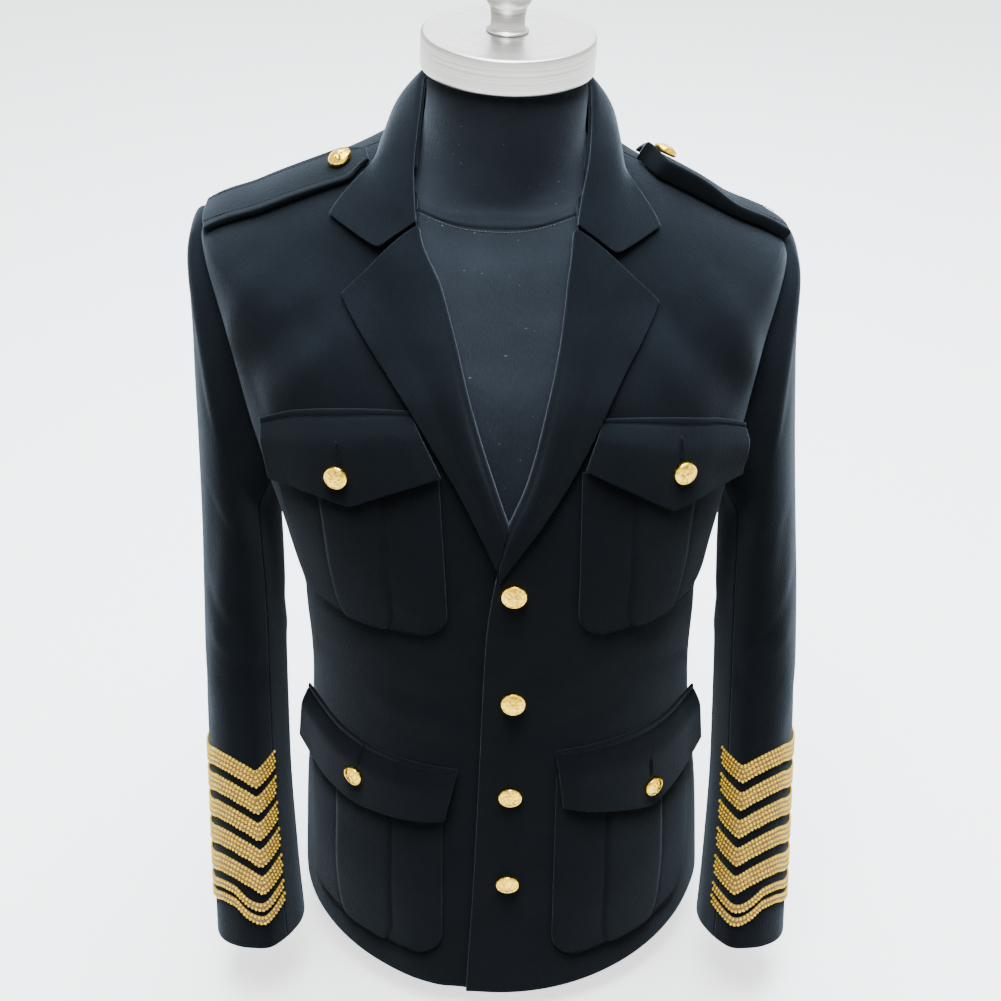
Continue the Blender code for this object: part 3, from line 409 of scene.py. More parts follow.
def twill(name, dark, light, rib, slant, sheen, fluff):
    """Woven or knitted cloth: ribs of a given pitch on the cut's own UV map."""
    made, tree, shader = start_material(name, light, CLOTH_ROUGHNESS)
    shader.inputs["Sheen Weight"].default_value = sheen
    shader.inputs["Sheen Roughness"].default_value = SHEEN_ROUGHNESS
    shader.inputs["Sheen Tint"].default_value = SHEEN_TINT
    shader.inputs["Specular IOR Level"].default_value = CLOTH_GLOSS
    uv = tree.nodes.new("ShaderNodeUVMap")
    uv.uv_map = "cut"
    turned = tree.nodes.new("ShaderNodeMapping")
    turned.inputs["Rotation"].default_value = (0.0, 0.0, math.radians(slant))
    tree.links.new(uv.outputs["UV"], turned.inputs["Vector"])
    turned.inputs["Scale"].default_value = (1.0 / rib, 0.14 / rib, 1.0)
    ribs = add_noise(tree, turned.outputs["Vector"], 1.0, 2.0)
    place = tree.nodes.new("ShaderNodeTexCoord").outputs["Object"]
    mottle = add_noise(tree, place, 26.0, 4.0)
    nap = add_noise(tree, place, 1500.0, 2.0)
    lint = add_noise(tree, place, 520.0, 0.0)
    tone = add_math(tree, "ADD", add_math(tree, "MULTIPLY", mottle, 0.4),
                    add_math(tree, "MULTIPLY", add_math(tree, "ADD", ribs, nap), 0.3))
    base = add_ramp(tree, tone, ((0.34, dark), (0.66, light)))
    fibre = add_ramp(tree, lint, ((0.85, (0.0, 0.0, 0.0)), (0.88, (fluff, fluff, fluff))))
    mix = tree.nodes.new("ShaderNodeMix")
    mix.data_type = "RGBA"
    mix.blend_type = "ADD"
    mix.inputs["Factor"].default_value = 1.0
    tree.links.new(base, mix.inputs["A"])
    tree.links.new(fibre, mix.inputs["B"])
    tree.links.new(mix.outputs["Result"], shader.inputs["Base Color"])
    height = add_math(tree, "ADD", add_math(tree, "MULTIPLY", ribs, 1.6), nap)
    add_bump(tree, shader, height, 0.50, 0.00045)
    return made


def gilt():
    """Polished gilt metal, a little worn: its colour and roughness vary at random."""
    made, tree, shader = start_material("gilt", (0.82, 0.55, 0.09), 0.24, 1.0)
    place = tree.nodes.new("ShaderNodeTexCoord").outputs["Object"]
    wear = add_noise(tree, place, 420.0, 5.0)
    tree.links.new(add_ramp(tree, wear, ((0.34, (0.42, 0.22, 0.01)), (0.60, (0.96, 0.64, 0.05)))),
                   shader.inputs["Base Color"])
    rough = add_math(tree, "MULTIPLY", wear, 0.42)
    tree.links.new(rough, shader.inputs["Roughness"])
    add_bump(tree, shader, add_noise(tree, place, 1400.0, 2.0), 0.25, 0.0002)
    return made


def braid_thread(name, dark, light, metallic, gloss=0.5):
    """Braid or sewing thread, wound in fine turns."""
    made, tree, shader = start_material(name, light, 0.92 - 0.9 * gloss, metallic)
    shader.inputs["Specular IOR Level"].default_value = gloss
    place = tree.nodes.new("ShaderNodeTexCoord").outputs["Object"]
    strand = add_noise(tree, place, 700.0, 3.0)
    tree.links.new(add_ramp(tree, strand, ((0.32, dark), (0.60, light))), shader.inputs["Base Color"])
    add_bump(tree, shader, add_noise(tree, place, 2600.0, 1.0), 0.5, 0.0003)
    return made


def brushed_steel():
    """Steel turned on a lathe: fine rings on its UV map, where V runs along the profile."""
    made, tree, shader = start_material("brushed_steel", (0.76, 0.745, 0.70), 0.34, 1.0)
    uv = tree.nodes.new("ShaderNodeUVMap")
    uv.uv_map = "cut"
    stretched = tree.nodes.new("ShaderNodeMapping")
    stretched.inputs["Scale"].default_value = (3.0, 2600.0, 1.0)
    tree.links.new(uv.outputs["UV"], stretched.inputs["Vector"])
    rings = add_noise(tree, stretched.outputs["Vector"], 1.0, 4.0)
    tree.links.new(add_ramp(tree, rings, ((0.3, (0.28, 0.27, 0.25)), (0.7, (0.66, 0.645, 0.60)))),
                   shader.inputs["Base Color"])
    tree.links.new(add_math(tree, "ADD", add_math(tree, "MULTIPLY", rings, 0.16), 0.24),
                   shader.inputs["Roughness"])
    add_bump(tree, shader, rings, 0.12, 0.0002)
    return made


WOOL_DARK, WOOL_LIGHT = (0.0040, 0.0052, 0.0068), (0.0078, 0.0103, 0.0136)
JERSEY_DARK, JERSEY_LIGHT = (0.0150, 0.0186, 0.0240), (0.0280, 0.0340, 0.0430)
finishes["wool"] = (twill("wool_twill", WOOL_DARK, WOOL_LIGHT, 0.0010, 58.0, 0.24, 0.0), "wool_cloth")
finishes["jersey"] = (twill("form_jersey", JERSEY_DARK, JERSEY_LIGHT, 0.0008, 90.0, 0.20, 0.10),
                      "form_jersey")
finishes["thread"] = (braid_thread("black_thread", (0.004, 0.005, 0.006), (0.013, 0.015, 0.019), 0.0, 0.06),
                      "wool_cloth")
finishes["pale_thread"] = (braid_thread("grey_thread", (0.04, 0.045, 0.05), (0.11, 0.115, 0.12), 0.0, 0.1),
                           "form_jersey")
finishes["gilt"] = (gilt(), "gilt_button")
finishes["loops"] = (braid_thread("gold_loops", (0.38, 0.21, 0.01), (0.84, 0.57, 0.04), 0.75), "gold_braid")
# The braid's ground is a real woven strip, but its dark brown gold colour is painted shade for the gaps
# between the loops.
finishes["ground"] = (braid_thread("gold_ground_painted_shade", (0.09, 0.045, 0.01), (0.26, 0.15, 0.03), 0.30),
                      "gold_braid")
finishes["steel"] = (brushed_steel(), "brushed_cap")
print(len(finishes), "finishes")

# %% [markdown]
# ## Fronts and backs
# The wearer's left front laps over the right one. Each front runs from its edge to the side
# seam, and its rows crowd round the armhole, where the side edge follows the armhole loop. The
# right front dips where the left one covers it, so two layers never share one place. Backs are
# built the same way and meet at the centre seam.

# %% Cut the fronts and backs
Edge = namedtuple("Edge", "level over under")
FRONT_EDGE = (
    Edge(0.042, -0.0305, 0.016),
    Edge(0.172, -0.0220, 0.024),
    Edge(0.274, -0.0170, 0.029),
    Edge(0.346, -0.0140, 0.032),
    Edge(0.400, -0.0110, 0.034),
    Edge(0.442, -0.0060, 0.032),
    Edge(0.474, 0.0000, 0.026),
    Edge(0.506, 0.0085, 0.0085),
    Edge(0.554, 0.0260, -0.0050),
    Edge(0.620, 0.0400, -0.0200),
    Edge(0.700, 0.0505, -0.0320),
    Edge(0.756, 0.0550, -0.0420),
    Edge(0.806, 0.0585, -0.0560),
    Edge(0.824, 0.0560, -0.0560),
)
TUCK = 0.0034
FRONT_REACH, BACK_REACH = 24.0, 22.0


def turn_at(across, level):
    """The turn of the front point at a distance across."""
    ring = ring_at("jacket", level)
    share = min(1.0, abs(across) / ring.half_width)
    return math.copysign(math.degrees(math.asin(share ** (ring.square / 2.0))), across)


@lru_cache(None)
def beside(turn, level, gap):
    """The turn that lies a small gap along the ring from a turn."""
    low, high = 0.0, 6.0
    here = bare(turn, level)
    for _ in range(24):
        middle = (low + high) / 2.0
        if (bare(turn + math.copysign(middle, gap), level) - here).length < abs(gap):
            low = middle
        else:
            high = middle
    return turn + math.copysign(high, gap)


@lru_cache(None)
def armhole(around, grow):
    """Turn and level on the armhole loop: 0 is its top, 90 its front, 180 its armpit."""
    cosine = math.cos(math.radians(around))
    sine = math.sin(math.radians(around))
    middle = (POINT_LEVEL + ARMPIT_LEVEL) / 2.0
    half = (POINT_LEVEL - ARMPIT_LEVEL) / 2.0
    level = middle + (half + grow) * math.copysign(abs(cosine) ** 0.7, cosine)
    reach = FRONT_REACH - 8.0 * cosine if sine >= 0.0 else BACK_REACH - 4.0 * cosine
    return 92.0 - 2.0 * cosine - (reach + grow * 380.0) * sine, level


def panel_rows(front):
    """Rows of a panel as (level, turn of its side edge), close together at the armhole."""
    sign = -SEAM if front else SEAM
    below = hemmed(spread(HEM_LEVEL, ARMPIT_LEVEL, 58), 0.0015)[:-2]
    rows = [(level, beside(94.0, level, sign)) for level in below]
    for around in spread(180.0, 0.0, 44):
        turn, level = armhole(around if front else -around, SEAM)
        if around in (0.0, 180.0):
            turn = beside(94.0 if around else 90.0, level, sign)
        rows.append((level, turn))
    top = spread(POINT_LEVEL, NECK_LEVEL, 26)[1:]
    rows += [(level, beside(90.0, level, sign)) for level in top[:-1] + [NECK_LEVEL - 0.0015, NECK_LEVEL]]
    return rows


def front_panel(side_name, side):
    """One front, from its edge and roll line to the side seam, armhole and shoulder."""
    column = "over" if side > 0.0 else "under"

    def place(u, row, depth):
        level, side_turn = row
        edge = turn_at(smooth(FRONT_EDGE, level, column) * side, level)
        turn = edge + (side_turn - edge) * u
        out = 0.0
        if side < 0.0:
            over = smooth(FRONT_EDGE, level, "over")
            out = -TUCK * ramp(bare(-turn, level).x, over - 0.026, over - 0.004)
            out *= 1.0 - ramp(level, BREAK_LEVEL + 0.008, BREAK_LEVEL + 0.030)
        else:
            out = 0.0012 * (1.0 - ramp(u, 0.0, 0.03))
        return cloth(turn * side, level, out - depth)

    us = hemmed(spread(0.0, 1.0, 46), 0.006)
    return wall("blazer_front_" + side_name, us, panel_rows(True), place, "wool", "front_" + side_name)


def back_panel(side_name, side):
    """One half of the back, from the side seam to the centre-back seam."""
    def place(u, row, depth):
        level, side_turn = row
        centre = beside(180.0, level, -SEAM / 2.0)
        return cloth((side_turn + (centre - side_turn) * u) * side, level, -depth)

    us = hemmed(spread(0.0, 1.0, 42), 0.006)
    return wall("blazer_back_" + side_name, us, panel_rows(False), place, "wool", "back_" + side_name)


panels = {}
for side_name, side in SIDES:
    panels["front_" + side_name] = front_panel(side_name, side)
    panels["back_" + side_name] = back_panel(side_name, side)
    for kind in ("front_", "back_"):
        declare_sheet(panels[kind + side_name])

# %% [markdown]
# ## Lapels with a soft roll
# A lapel is the front folded outwards. A plain flap laid on the front would show a cut edge
# along the roll line, so this grid starts inside the front, curls round its edge in a half
# circle and only then lies on the chest. A slight swell beyond the roll gives it life.

# %% Roll the lapels
Lapel = namedtuple("Lapel", "share over_level over under_level under")
LAPEL_EDGE = (
    Lapel(0.00, 0.463, 0.0010, 0.474, -0.0010),
    Lapel(0.25, 0.534, 0.0420, 0.534, -0.0225),
    Lapel(0.50, 0.590, 0.0680, 0.590, -0.0480),
    Lapel(0.75, 0.655, 0.0920, 0.655, -0.0790),
    Lapel(1.00, 0.716, 0.1170, 0.716, -0.1090),
)
LAPEL_FOOT = {"left": 0.476, "right": 0.510}
GORGE_TURN = {"left": 36.3, "right": 34.4}
GORGE_LEVEL, NOTCH_LEVEL = 0.804, 0.771
ROLL_STEPS = (-1.0, -0.8, -0.6, -0.4, -0.2)


def lapel(side_name, side):
    """A lapel, rolled out round the front's edge."""
    column = "over" if side > 0.0 else "under"
    foot = LAPEL_FOOT[side_name]
    radius = CLOTH / 2.0 + TOUCH + FACED

    def place(u, v, depth):
        level_in = foot + (GORGE_LEVEL - foot) * v
        across_in = smooth(FRONT_EDGE, level_in, column)
        if u < 0.0:
            angle = -u * math.radians(165.0)
            reach = radius - depth
            turn = turn_at(across_in, level_in)
            here = cloth(turn, level_in, -CLOTH / 2.0 + reach * math.cos(angle))
            beyond = turn_at(across_in - side * 0.004, level_in)
            aside = (cloth(beyond, level_in) - cloth(turn, level_in)).normalized()
            return here + aside * reach * math.sin(angle)
        level_out = smooth(LAPEL_EDGE, v, column + "_level")
        across_out = smooth(LAPEL_EDGE, v, column)
        level = level_in + (level_out - level_in) * u
        across = across_in + (across_out - across_in) * u
        swell = 0.0032 * math.sin(math.pi * min(1.0, u * 1.6)) * ramp(v, 0.0, 0.3)
        over_flap = 0.0019 * ramp(v, 0.08, 0.2) * (1.0 - ramp(v, 0.62, 0.8)) * ramp(u, 0.4, 0.9)
        lift = FACED + TOUCH + (LIE - TOUCH) * ramp(u, 0.0, 0.12) + swell + over_flap
        return cloth(turn_at(across, level), level, lift - depth)

    us = list(ROLL_STEPS) + hemmed(spread(0.0, 1.0, 18), 0.02)
    us.remove(0.02)
    vs = hemmed(spread(0.0, 1.0, 64), 0.005)
    return wall("blazer_lapel_" + side_name, us, vs, place, "wool", "lapel_" + side_name, thickness=FACED)


for side_name, side in SIDES:
    declare_sheet(lapel(side_name, side))

# %% [markdown]
# ## Collar
# The collar stands up from the neck seam and turns down over it. The fall is one grid that
# also curls over the crease and a little way down inside, so the fold looks like folded cloth.
# The stand is the band inside it. The fall's outer edge lies on the shoulders.

# %% Turn down the collar
Fold = namedtuple("Fold", "station x y z edge_turn edge_level")
COLLAR = (
    Fold(0.0, 0.0000, 0.0690, 0.7960, 180.0, 0.812),
    Fold(1.0, 0.0430, 0.0530, 0.7940, 138.0, 0.814),
    Fold(2.0, 0.0655, 0.0120, 0.7830, 100.0, 0.817),
    Fold(3.0, 0.0655, -0.0300, 0.7600, 76.0, 0.811),
    Fold(4.0, 0.0585, -0.0700, 0.7120, 57.0, 0.765),
)


def collar_row(station):
    """Crease point and the outer edge's turn and level at a station of the collar."""
    x, y, z, turn, level = (smooth(COLLAR, abs(station), column) for column in Fold._fields[1:])
    sign = math.copysign(1.0, station)
    return Vector((x * sign, y, z)), turn * sign, level


def collar_line(u, station):
    """The collar's middle surface: u runs from the crease to the outer edge."""
    crease, turn, level = collar_row(station)
    sign = math.copysign(1.0, station)
    edge = bare(turn, level) + outward(turn, level) * (FACED + LIE)
    end = ramp(abs(station), 3.0, 4.0)
    gorge = (GORGE_TURN["left"] if sign > 0.0 else GORGE_TURN["right"]) * sign
    start = bare(gorge, GORGE_LEVEL) + outward(gorge, GORGE_LEVEL) * 0.0052
    crease = crease.lerp(start, ramp(abs(station), 3.4, 4.0))
    notch = bare(gorge, NOTCH_LEVEL) + outward(gorge, NOTCH_LEVEL) * (FACED + LIE)
    kink = crease.lerp(edge, 0.45).lerp(notch, end)
    share = u / 0.45 if u < 0.45 else (u - 0.45) / 0.55
    point = crease.lerp(kink, share) if u < 0.45 else kink.lerp(edge, share)
    away = Vector((point.x, point.y, 0.02)).normalized()
    return point + away * 0.0050 * math.sin(math.pi * max(0.0, u))


def collar_fall():
    """The part of the collar that turns down over the shoulders."""
    radius = 0.0030

    def place(u, station, depth):
        here = collar_line(max(0.0, u), station)
        ahead = collar_line(max(0.0, u) + 0.03, station)
        step = 0.05 if station < 3.9 else -0.05
        along = (collar_line(max(0.0, u), station + step) - here) * math.copysign(1.0, step)
        normal = along.cross(ahead - here).normalized()
        if normal.dot(Vector((here.x, here.y, 0.05))) < 0.0:
            normal = -normal
        if u >= 0.0:
            return settle(here - normal * depth)
        angle = -u * math.radians(190.0)
        reach = radius - depth * 0.5
        centre = here - normal * radius
        up = -(ahead - here).normalized()
        return settle(centre + normal * reach * math.cos(angle) + up * reach * math.sin(angle))

    us = list(ROLL_STEPS) + hemmed(spread(0.0, 1.0, 16), 0.03)
    us.remove(0.03)
    stations = spread(-4.0, 4.0, 96)
    return wall("blazer_collar", us, hemmed(stations, 0.02), place, "wool", "collar_fall", thickness=FACED)


def collar_stand():
    """The band of the collar that stands up from the neck seam inside the fall."""
    def place(u, station, depth):
        crease, _, _ = collar_row(station)
        turn = (180.0 - 34.0 * abs(station)) * math.copysign(1.0, station)
        inward = Vector((crease.x, crease.y, 0.0)).normalized()
        foot = bare(turn, NECK_LEVEL) - inward * 0.0022
        foot.z += 0.0016
        top = crease - inward * 0.0046
        top.z -= 0.0036
        return settle(foot.lerp(top, u) - inward * depth)

    return wall("blazer_collar_stand", hemmed(spread(0.0, 1.0, 6), 0.06), spread(-3.4, 3.4, 60),
                place, "wool", "collar_stand")


declare_sheet(collar_fall())
declare_sheet(collar_stand())

# %% [markdown]
# ## Sleeves
# A tailored sleeve has two pieces, a wide one outside and a narrow one underneath, and leans
# forward below the elbow. Its section is an oval, set by an outer line and an inner line. At
# the top the section blends into the armhole loop, a little proud of the shoulder where the
# cloth is eased in. Elbow creases are laid in the sleeve's own coordinates.

# %% Set in the sleeves
Sleeve = namedtuple("Sleeve", "along outer_x outer_z inner_x inner_z mid_y half_depth lean")
SLEEVE = (
    Sleeve(0.000, 0.2085, 0.6820, 0.1790, 0.4720, -0.003, 0.080, 0.0),
    Sleeve(0.020, 0.2190, 0.6760, 0.1805, 0.4620, -0.003, 0.085, 0.0),
    Sleeve(0.050, 0.2260, 0.6520, 0.1812, 0.4520, -0.003, 0.086, 0.0),
    Sleeve(0.100, 0.2300, 0.6000, 0.1815, 0.4380, -0.004, 0.083, 0.0),
    Sleeve(0.180, 0.2350, 0.5200, 0.1815, 0.4150, -0.007, 0.078, 1.0),
    Sleeve(0.260, 0.2405, 0.4400, 0.1812, 0.3820, -0.012, 0.070, 3.0),
    Sleeve(0.330, 0.2455, 0.3650, 0.1812, 0.3450, -0.022, 0.063, 7.0),
    Sleeve(0.420, 0.2485, 0.2900, 0.1815, 0.2850, -0.040, 0.056, 12.0),
    Sleeve(0.500, 0.2490, 0.2150, 0.1815, 0.2150, -0.060, 0.052, 15.0),
    Sleeve(0.600, 0.2505, 0.1150, 0.1780, 0.1180, -0.086, 0.050, 15.0),
    Sleeve(0.655, 0.2515, 0.0520, 0.1745, 0.0600, -0.100, 0.050, 14.0),
)
SLEEVE_LENGTH, INSEAM, HINDARM, SLEEVE_GAP = 0.655, 135.0, -75.0, 0.03
SleeveCrease = namedtuple("SleeveCrease", "side around0 along0 around1 along1 width depth")
SLEEVE_CREASES = (
    SleeveCrease(0, 20.0, 0.030, 60.0, 0.090, 0.014, -0.0012),
    SleeveCrease(0, 80.0, 0.060, 96.0, 0.180, 0.016, 0.0013),
    SleeveCrease(0, -30.0, 0.050, -60.0, 0.150, 0.018, 0.0016),
    SleeveCrease(0, 100.0, 0.345, 40.0, 0.300, 0.010, -0.0014),
    SleeveCrease(0, 110.0, 0.370, 60.0, 0.350, 0.009, 0.0013),
    SleeveCrease(0, 120.0, 0.400, 70.0, 0.400, 0.010, -0.0011),
    SleeveCrease(0, 200.0, 0.330, 260.0, 0.300, 0.011, -0.0016),
    SleeveCrease(0, 205.0, 0.370, 270.0, 0.345, 0.011, 0.0014),
    SleeveCrease(0, -80.0, 0.340, -30.0, 0.310, 0.013, 0.0013),
    SleeveCrease(1, 60.0, 0.220, 75.0, 0.300, 0.013, -0.0013),
    SleeveCrease(1, 10.0, 0.420, 40.0, 0.460, 0.012, -0.0008),
    SleeveCrease(-1, 70.0, 0.200, 55.0, 0.290, 0.014, -0.0014),
    SleeveCrease(-1, 0.0, 0.380, 30.0, 0.440, 0.014, -0.0009),
    SleeveCrease(-1, 230.0, 0.120, 255.0, 0.220, 0.016, 0.0016),
)
GIRTH = 0.060
CUFF_PRESS = ((107.0, 13.0, 0.0036), (60.0, 24.0, -0.0020), (150.0, 18.0, -0.0016))


@lru_cache(None)
def sleeve_row(along):
    """The sleeve's section at a distance along it."""
    return Sleeve(along, *(smooth(SLEEVE, along, column) for column in Sleeve._fields[1:]))


def sleeve_ring(row, around):
    """The oval section of the sleeve at a row, 0 outside, 90 front, 180 inside."""
    outer = Vector((row.outer_x, row.mid_y, row.outer_z))
    inner = Vector((row.inner_x, row.mid_y, row.inner_z))
    lean = math.radians(row.lean)
    forward = Vector((0.0, -math.cos(lean), math.sin(lean))) * row.half_depth
    cosine = math.cos(math.radians(around))
    sine = math.sin(math.radians(around))
    wide = math.copysign(abs(cosine) ** 0.92, cosine)
    deep = math.copysign(abs(sine) ** 0.92, sine)
    return (outer + inner) / 2.0 + (outer - inner) / 2.0 * wide + forward * deep


@lru_cache(None)
def sleeve_bare(around, along):
    """A point of the +X sleeve before the jacket settles."""
    section = sleeve_ring(sleeve_row(along), around)
    if along >= 0.09:
        return section
    turn, level = armhole(around, -SEAM)
    return section + (bare(turn, level) - sleeve_ring(SLEEVE[0], around)) * (1.0 - ramp(along, 0.0, 0.09))


def sleeve_crease(side, around, along):
    """How far the creases lift a sleeve's cloth."""
    height = 0.0
    for row in SLEEVE_CREASES:
        if row.side and row.side != side:
            continue
        middle = (row.around0 + row.around1) / 2.0
        turn = middle + (around - middle + 180.0) % 360.0 - 180.0
        start = Vector((math.radians(row.around0) * GIRTH, row.along0))
        run = Vector((math.radians(row.around1) * GIRTH, row.along1)) - start
        here = Vector((math.radians(turn) * GIRTH, along)) - start
        share = min(1.0, max(0.0, here.dot(run) / run.length_squared))
        height += row.depth * math.exp(-(((here - run * share).length / row.width) ** 2))
    turn = (around + 75.0) % 360.0 - 75.0
    press = ramp(along, 0.33, 0.60)
    for centre, width, depth in CUFF_PRESS:
        height += press * depth * math.exp(-(((turn - centre) / width) ** 2))
    return height


def sleeve(side, around, along, out=0.0):
    """A point of a sleeve, moved out along its normal."""
    across = sleeve_bare(around + 1.0, along) - sleeve_bare(around - 1.0, along)
    lower = sleeve_bare(around, min(SLEEVE_LENGTH, along + 0.003))
    down = lower - sleeve_bare(around, max(0.0, along - 0.003))
    normal = across.cross(down).normalized()
    head = ramp(math.cos(math.radians(around)), -0.1, 0.7)
    seam = head * (1.0 - ramp(along, 0.0, 0.02))
    if seam > 0.0:
        normal = normal.lerp(outward(*armhole(around, -SEAM)), seam).normalized()
    ease = 0.0016 * head * ramp(along, 0.0, 0.012) * (1.0 - ramp(along, 0.02, 0.06))
    lift = out + sleeve_crease(side, around, along) + ease
    point = sleeve_bare(around, along) + normal * lift
    return settle(Vector((point.x * side, point.y, point.z)))


def sleeve_piece(kind, side_name, side, start, end, count):
    """One of the two pieces of a sleeve, between its seams."""
    alongs = [0.0, 0.0015, 0.005, 0.009, 0.014, 0.020, 0.027, 0.035]
    alongs += spread(0.044, SLEEVE_LENGTH - 0.006, 84) + [SLEEVE_LENGTH - 0.0015, SLEEVE_LENGTH]
    arounds = spread(start, end, count)
    arounds = [start + SLEEVE_GAP, start + 2.0] + arounds[1:-1] + [end - 2.0, end - SLEEVE_GAP]

    def place(around, along, depth):
        return sleeve(side, around, along, -depth)

    name = kind + "_" + side_name
    return wall("blazer_" + name, arounds, alongs, place, "wool", name)


sleeves = {}
for side_name, side in SIDES:
    sleeves["top_" + side_name] = sleeve_piece("topsleeve", side_name, side, HINDARM, INSEAM, 34)
    sleeves["under_" + side_name] = sleeve_piece("undersleeve", side_name, side, INSEAM, HINDARM + 360.0, 24)

# %% [markdown]
# ## Patch pockets and flaps
# Each pocket is a patch with rounded lower corners and a box pleat down its middle. The flap
# is faced cloth with a pointed lower edge, sewn on above the pocket. A welt line runs just
# below its top edge. The outer ends of the flaps stand off the body, as on the real jacket.

# %% Sew on pockets and flaps
Pocket = namedtuple("Pocket", "inner_top inner_bottom top width height corner pleat")
POCKETS = {
    "breast_pocket_left": Pocket(0.0620, 0.0590, 0.566, 0.128, 0.162, 0.024, 0.024),
    "breast_pocket_right": Pocket(0.0410, 0.0385, 0.560, 0.134, 0.153, 0.024, 0.024),
    "lower_pocket_left": Pocket(0.0450, 0.0430, 0.262, 0.150, 0.186, 0.026, 0.029),
    "lower_pocket_right": Pocket(0.0470, 0.0500, 0.248, 0.150, 0.172, 0.026, 0.029),
}
Flap = namedtuple("Flap", "inner_top inner_bottom top fall width inner middle outer drop straight")
FLAPS = {
    "breast_flap_left": Flap(0.0770, 0.0640, 0.613, 0.033, 0.128, 0.044, 0.080, 0.046, 0.044, 0.76),
    "breast_flap_right": Flap(0.0610, 0.0390, 0.616, 0.032, 0.132, 0.056, 0.080, 0.052, 0.054, 0.80),
    "lower_flap_left": Flap(0.0440, 0.0500, 0.286, 0.010, 0.160, 0.056, 0.081, 0.058, 0.058, 0.80),
    "lower_flap_right": Flap(0.0340, 0.0450, 0.268, -0.014, 0.164, 0.051, 0.062, 0.060, 0.031, 0.80),
}
PLEAT_RISE, PLEAT_FULL, PLEAT_SLIT = 0.0014, 0.0017, 0.0009
FLAP_LIFT = CLOTH + FACED + 2.0 * LIE + PLEAT_RISE + 0.0004
WELT, FLAP_DIP = 0.085, 0.0022


def walk(turn, level, distance):
    """The turn reached after a distance along the ring, round to the +X side."""
    left = abs(distance)
    step = math.copysign(1.0, distance)
    while left > 0.0:
        length = (bare(turn + step, level) - bare(turn, level)).length
        if length >= left:
            return turn + step * left / length
        left -= length
        turn += step
    return turn


def patch_point(inner, level, across, side, out):
    """A point on the cloth, a distance along it from a patch's inner edge."""
    level = round(level, 5)
    return cloth(walk(turn_at(inner, level), level, across) * side, level, out)


def pocket_point(pocket, side, u, down, out):
    """A point of a patch pocket: u from -1 at its inner edge to 1, and down from its top."""
    half = pocket.width / 2.0
    below = max(0.0, down - (pocket.height - pocket.corner))
    inset = pocket.corner - math.sqrt(max(0.0, pocket.corner * pocket.corner - below * below))
    inner = pocket.inner_top + (pocket.inner_bottom - pocket.inner_top) * down / pocket.height
    return patch_point(inner, pocket.top - down, half + u * (half - inset), side, out)


def patch_pocket(name, side, pocket):
    """A patch pocket, pressed flat at its edges and full in the middle."""
    half = pocket.width / 2.0
    fold, step = pocket.pleat / half, (pocket.pleat + 0.0009) / half
    slit = (pocket.pleat + 0.0026) / half

    def place(u, down, depth):
        share = down / pocket.height
        raised = PLEAT_FULL * (1.0 - ramp(abs(u), fold, step))
        groove = -PLEAT_SLIT * ramp(abs(u), fold, step) * (1.0 - ramp(abs(u), step, slit))
        full = 0.0022 * math.sin(math.pi * ramp(share, 0.35, 1.0)) * (1.0 - u * u) ** 0.5
        return pocket_point(pocket, side, u, down, CLOTH + LIE + raised + groove + full - depth)

    side_us = [step, slit] + spread(slit, 1.0, 7)[1:]
    us = [-u for u in reversed(side_us)] + spread(-fold, fold, 10) + side_us
    us = [-1.0, -0.975] + us[1:-1] + [0.975, 1.0]
    downs = hemmed(spread(0.0, pocket.height - pocket.corner, 30), 0.002)[:-2]
    angles = (0, 12, 24, 36, 48, 60, 70, 79, 86)
    downs += [pocket.height - pocket.corner * (1.0 - math.sin(math.radians(a))) for a in angles]
    return wall("blazer_" + name, us, downs, place, "wool", name)


def flap_level(flap, share, v):
    """The level of a point of a flap: share along its width and v down its height."""
    point = 1.0 - abs(2.0 * share - 1.0) ** 1.04
    ends = flap.inner + (flap.outer - flap.inner) * share
    height = ends + (flap.middle - (flap.inner + flap.outer) / 2.0) * point
    return flap.top - flap.fall * share * share - height * v


def flap_point(flap, side, share, v, out):
    """A point of a flap where it lies on the cloth."""
    inner = flap.inner_top + (flap.inner_bottom - flap.inner_top) * v
    width = flap.width - max(0.0, inner - flap.inner_bottom)
    return patch_point(inner, flap_level(flap, share, v), width * share, side, out)


def flap_surface(flap, side, share, v, out):
    """A point of a flap, which leaves the cloth and runs straight on at its outer end."""
    sewn = FACED + TOUCH
    lift = out + sewn + (FLAP_LIFT - sewn) * ramp(v, 0.0, 0.4) + 0.0012 * v
    lift -= 0.0011 * math.exp(-(((v - WELT) / 0.02) ** 2))
    lift -= FLAP_DIP * (1.0 - ramp(share, 0.0, 0.12)) * ramp(v, 0.0, 0.4)
    start = min(share, flap.straight)
    edge = flap_point(flap, side, start, v, lift)
    if share <= start:
        return edge
    before = flap_point(flap, side, start - 0.03, v, lift)
    straight = edge + (edge - before).normalized() * (share - start) * flap.width
    straight.z = edge.z + (flap_level(flap, share, v) - flap_level(flap, start, v))
    return straight


def pocket_flap(name, side, flap):
    """A pocket flap with its welt line, its point and its free outer end."""
    def place(share, v, depth):
        return flap_surface(flap, side, share, v, -depth)

    shares = hemmed(spread(0.0, 1.0, 37), 0.012)
    vs = [0.0, 0.02, 0.045, 0.06, 0.075, 0.09, 0.11] + spread(0.15, 0.96, 13) + [0.985, 1.0]
    return wall("blazer_" + name, shares, vs, place, "wool", name, thickness=FACED)


for side_name, side in SIDES:
    for place_name in ("breast", "lower"):
        pocket_name = f"{place_name}_pocket_{side_name}"
        flap_name = f"{place_name}_flap_{side_name}"
        pocket = patch_pocket(pocket_name, side, POCKETS[pocket_name])
        declare_sheet(pocket)
        declare_sheet(pocket_flap(flap_name, side, FLAPS[flap_name]))

# %% [markdown]
# ## Shoulder straps
# A strap is faced cloth, stiff enough to keep its edges up. It is sewn into the armhole seam
# and buttoned near the collar, where it ends in a blunt point. Its rim is turned, so it shows
# as a low welt, and the strap on the wearer's left has lifted at its front edge.

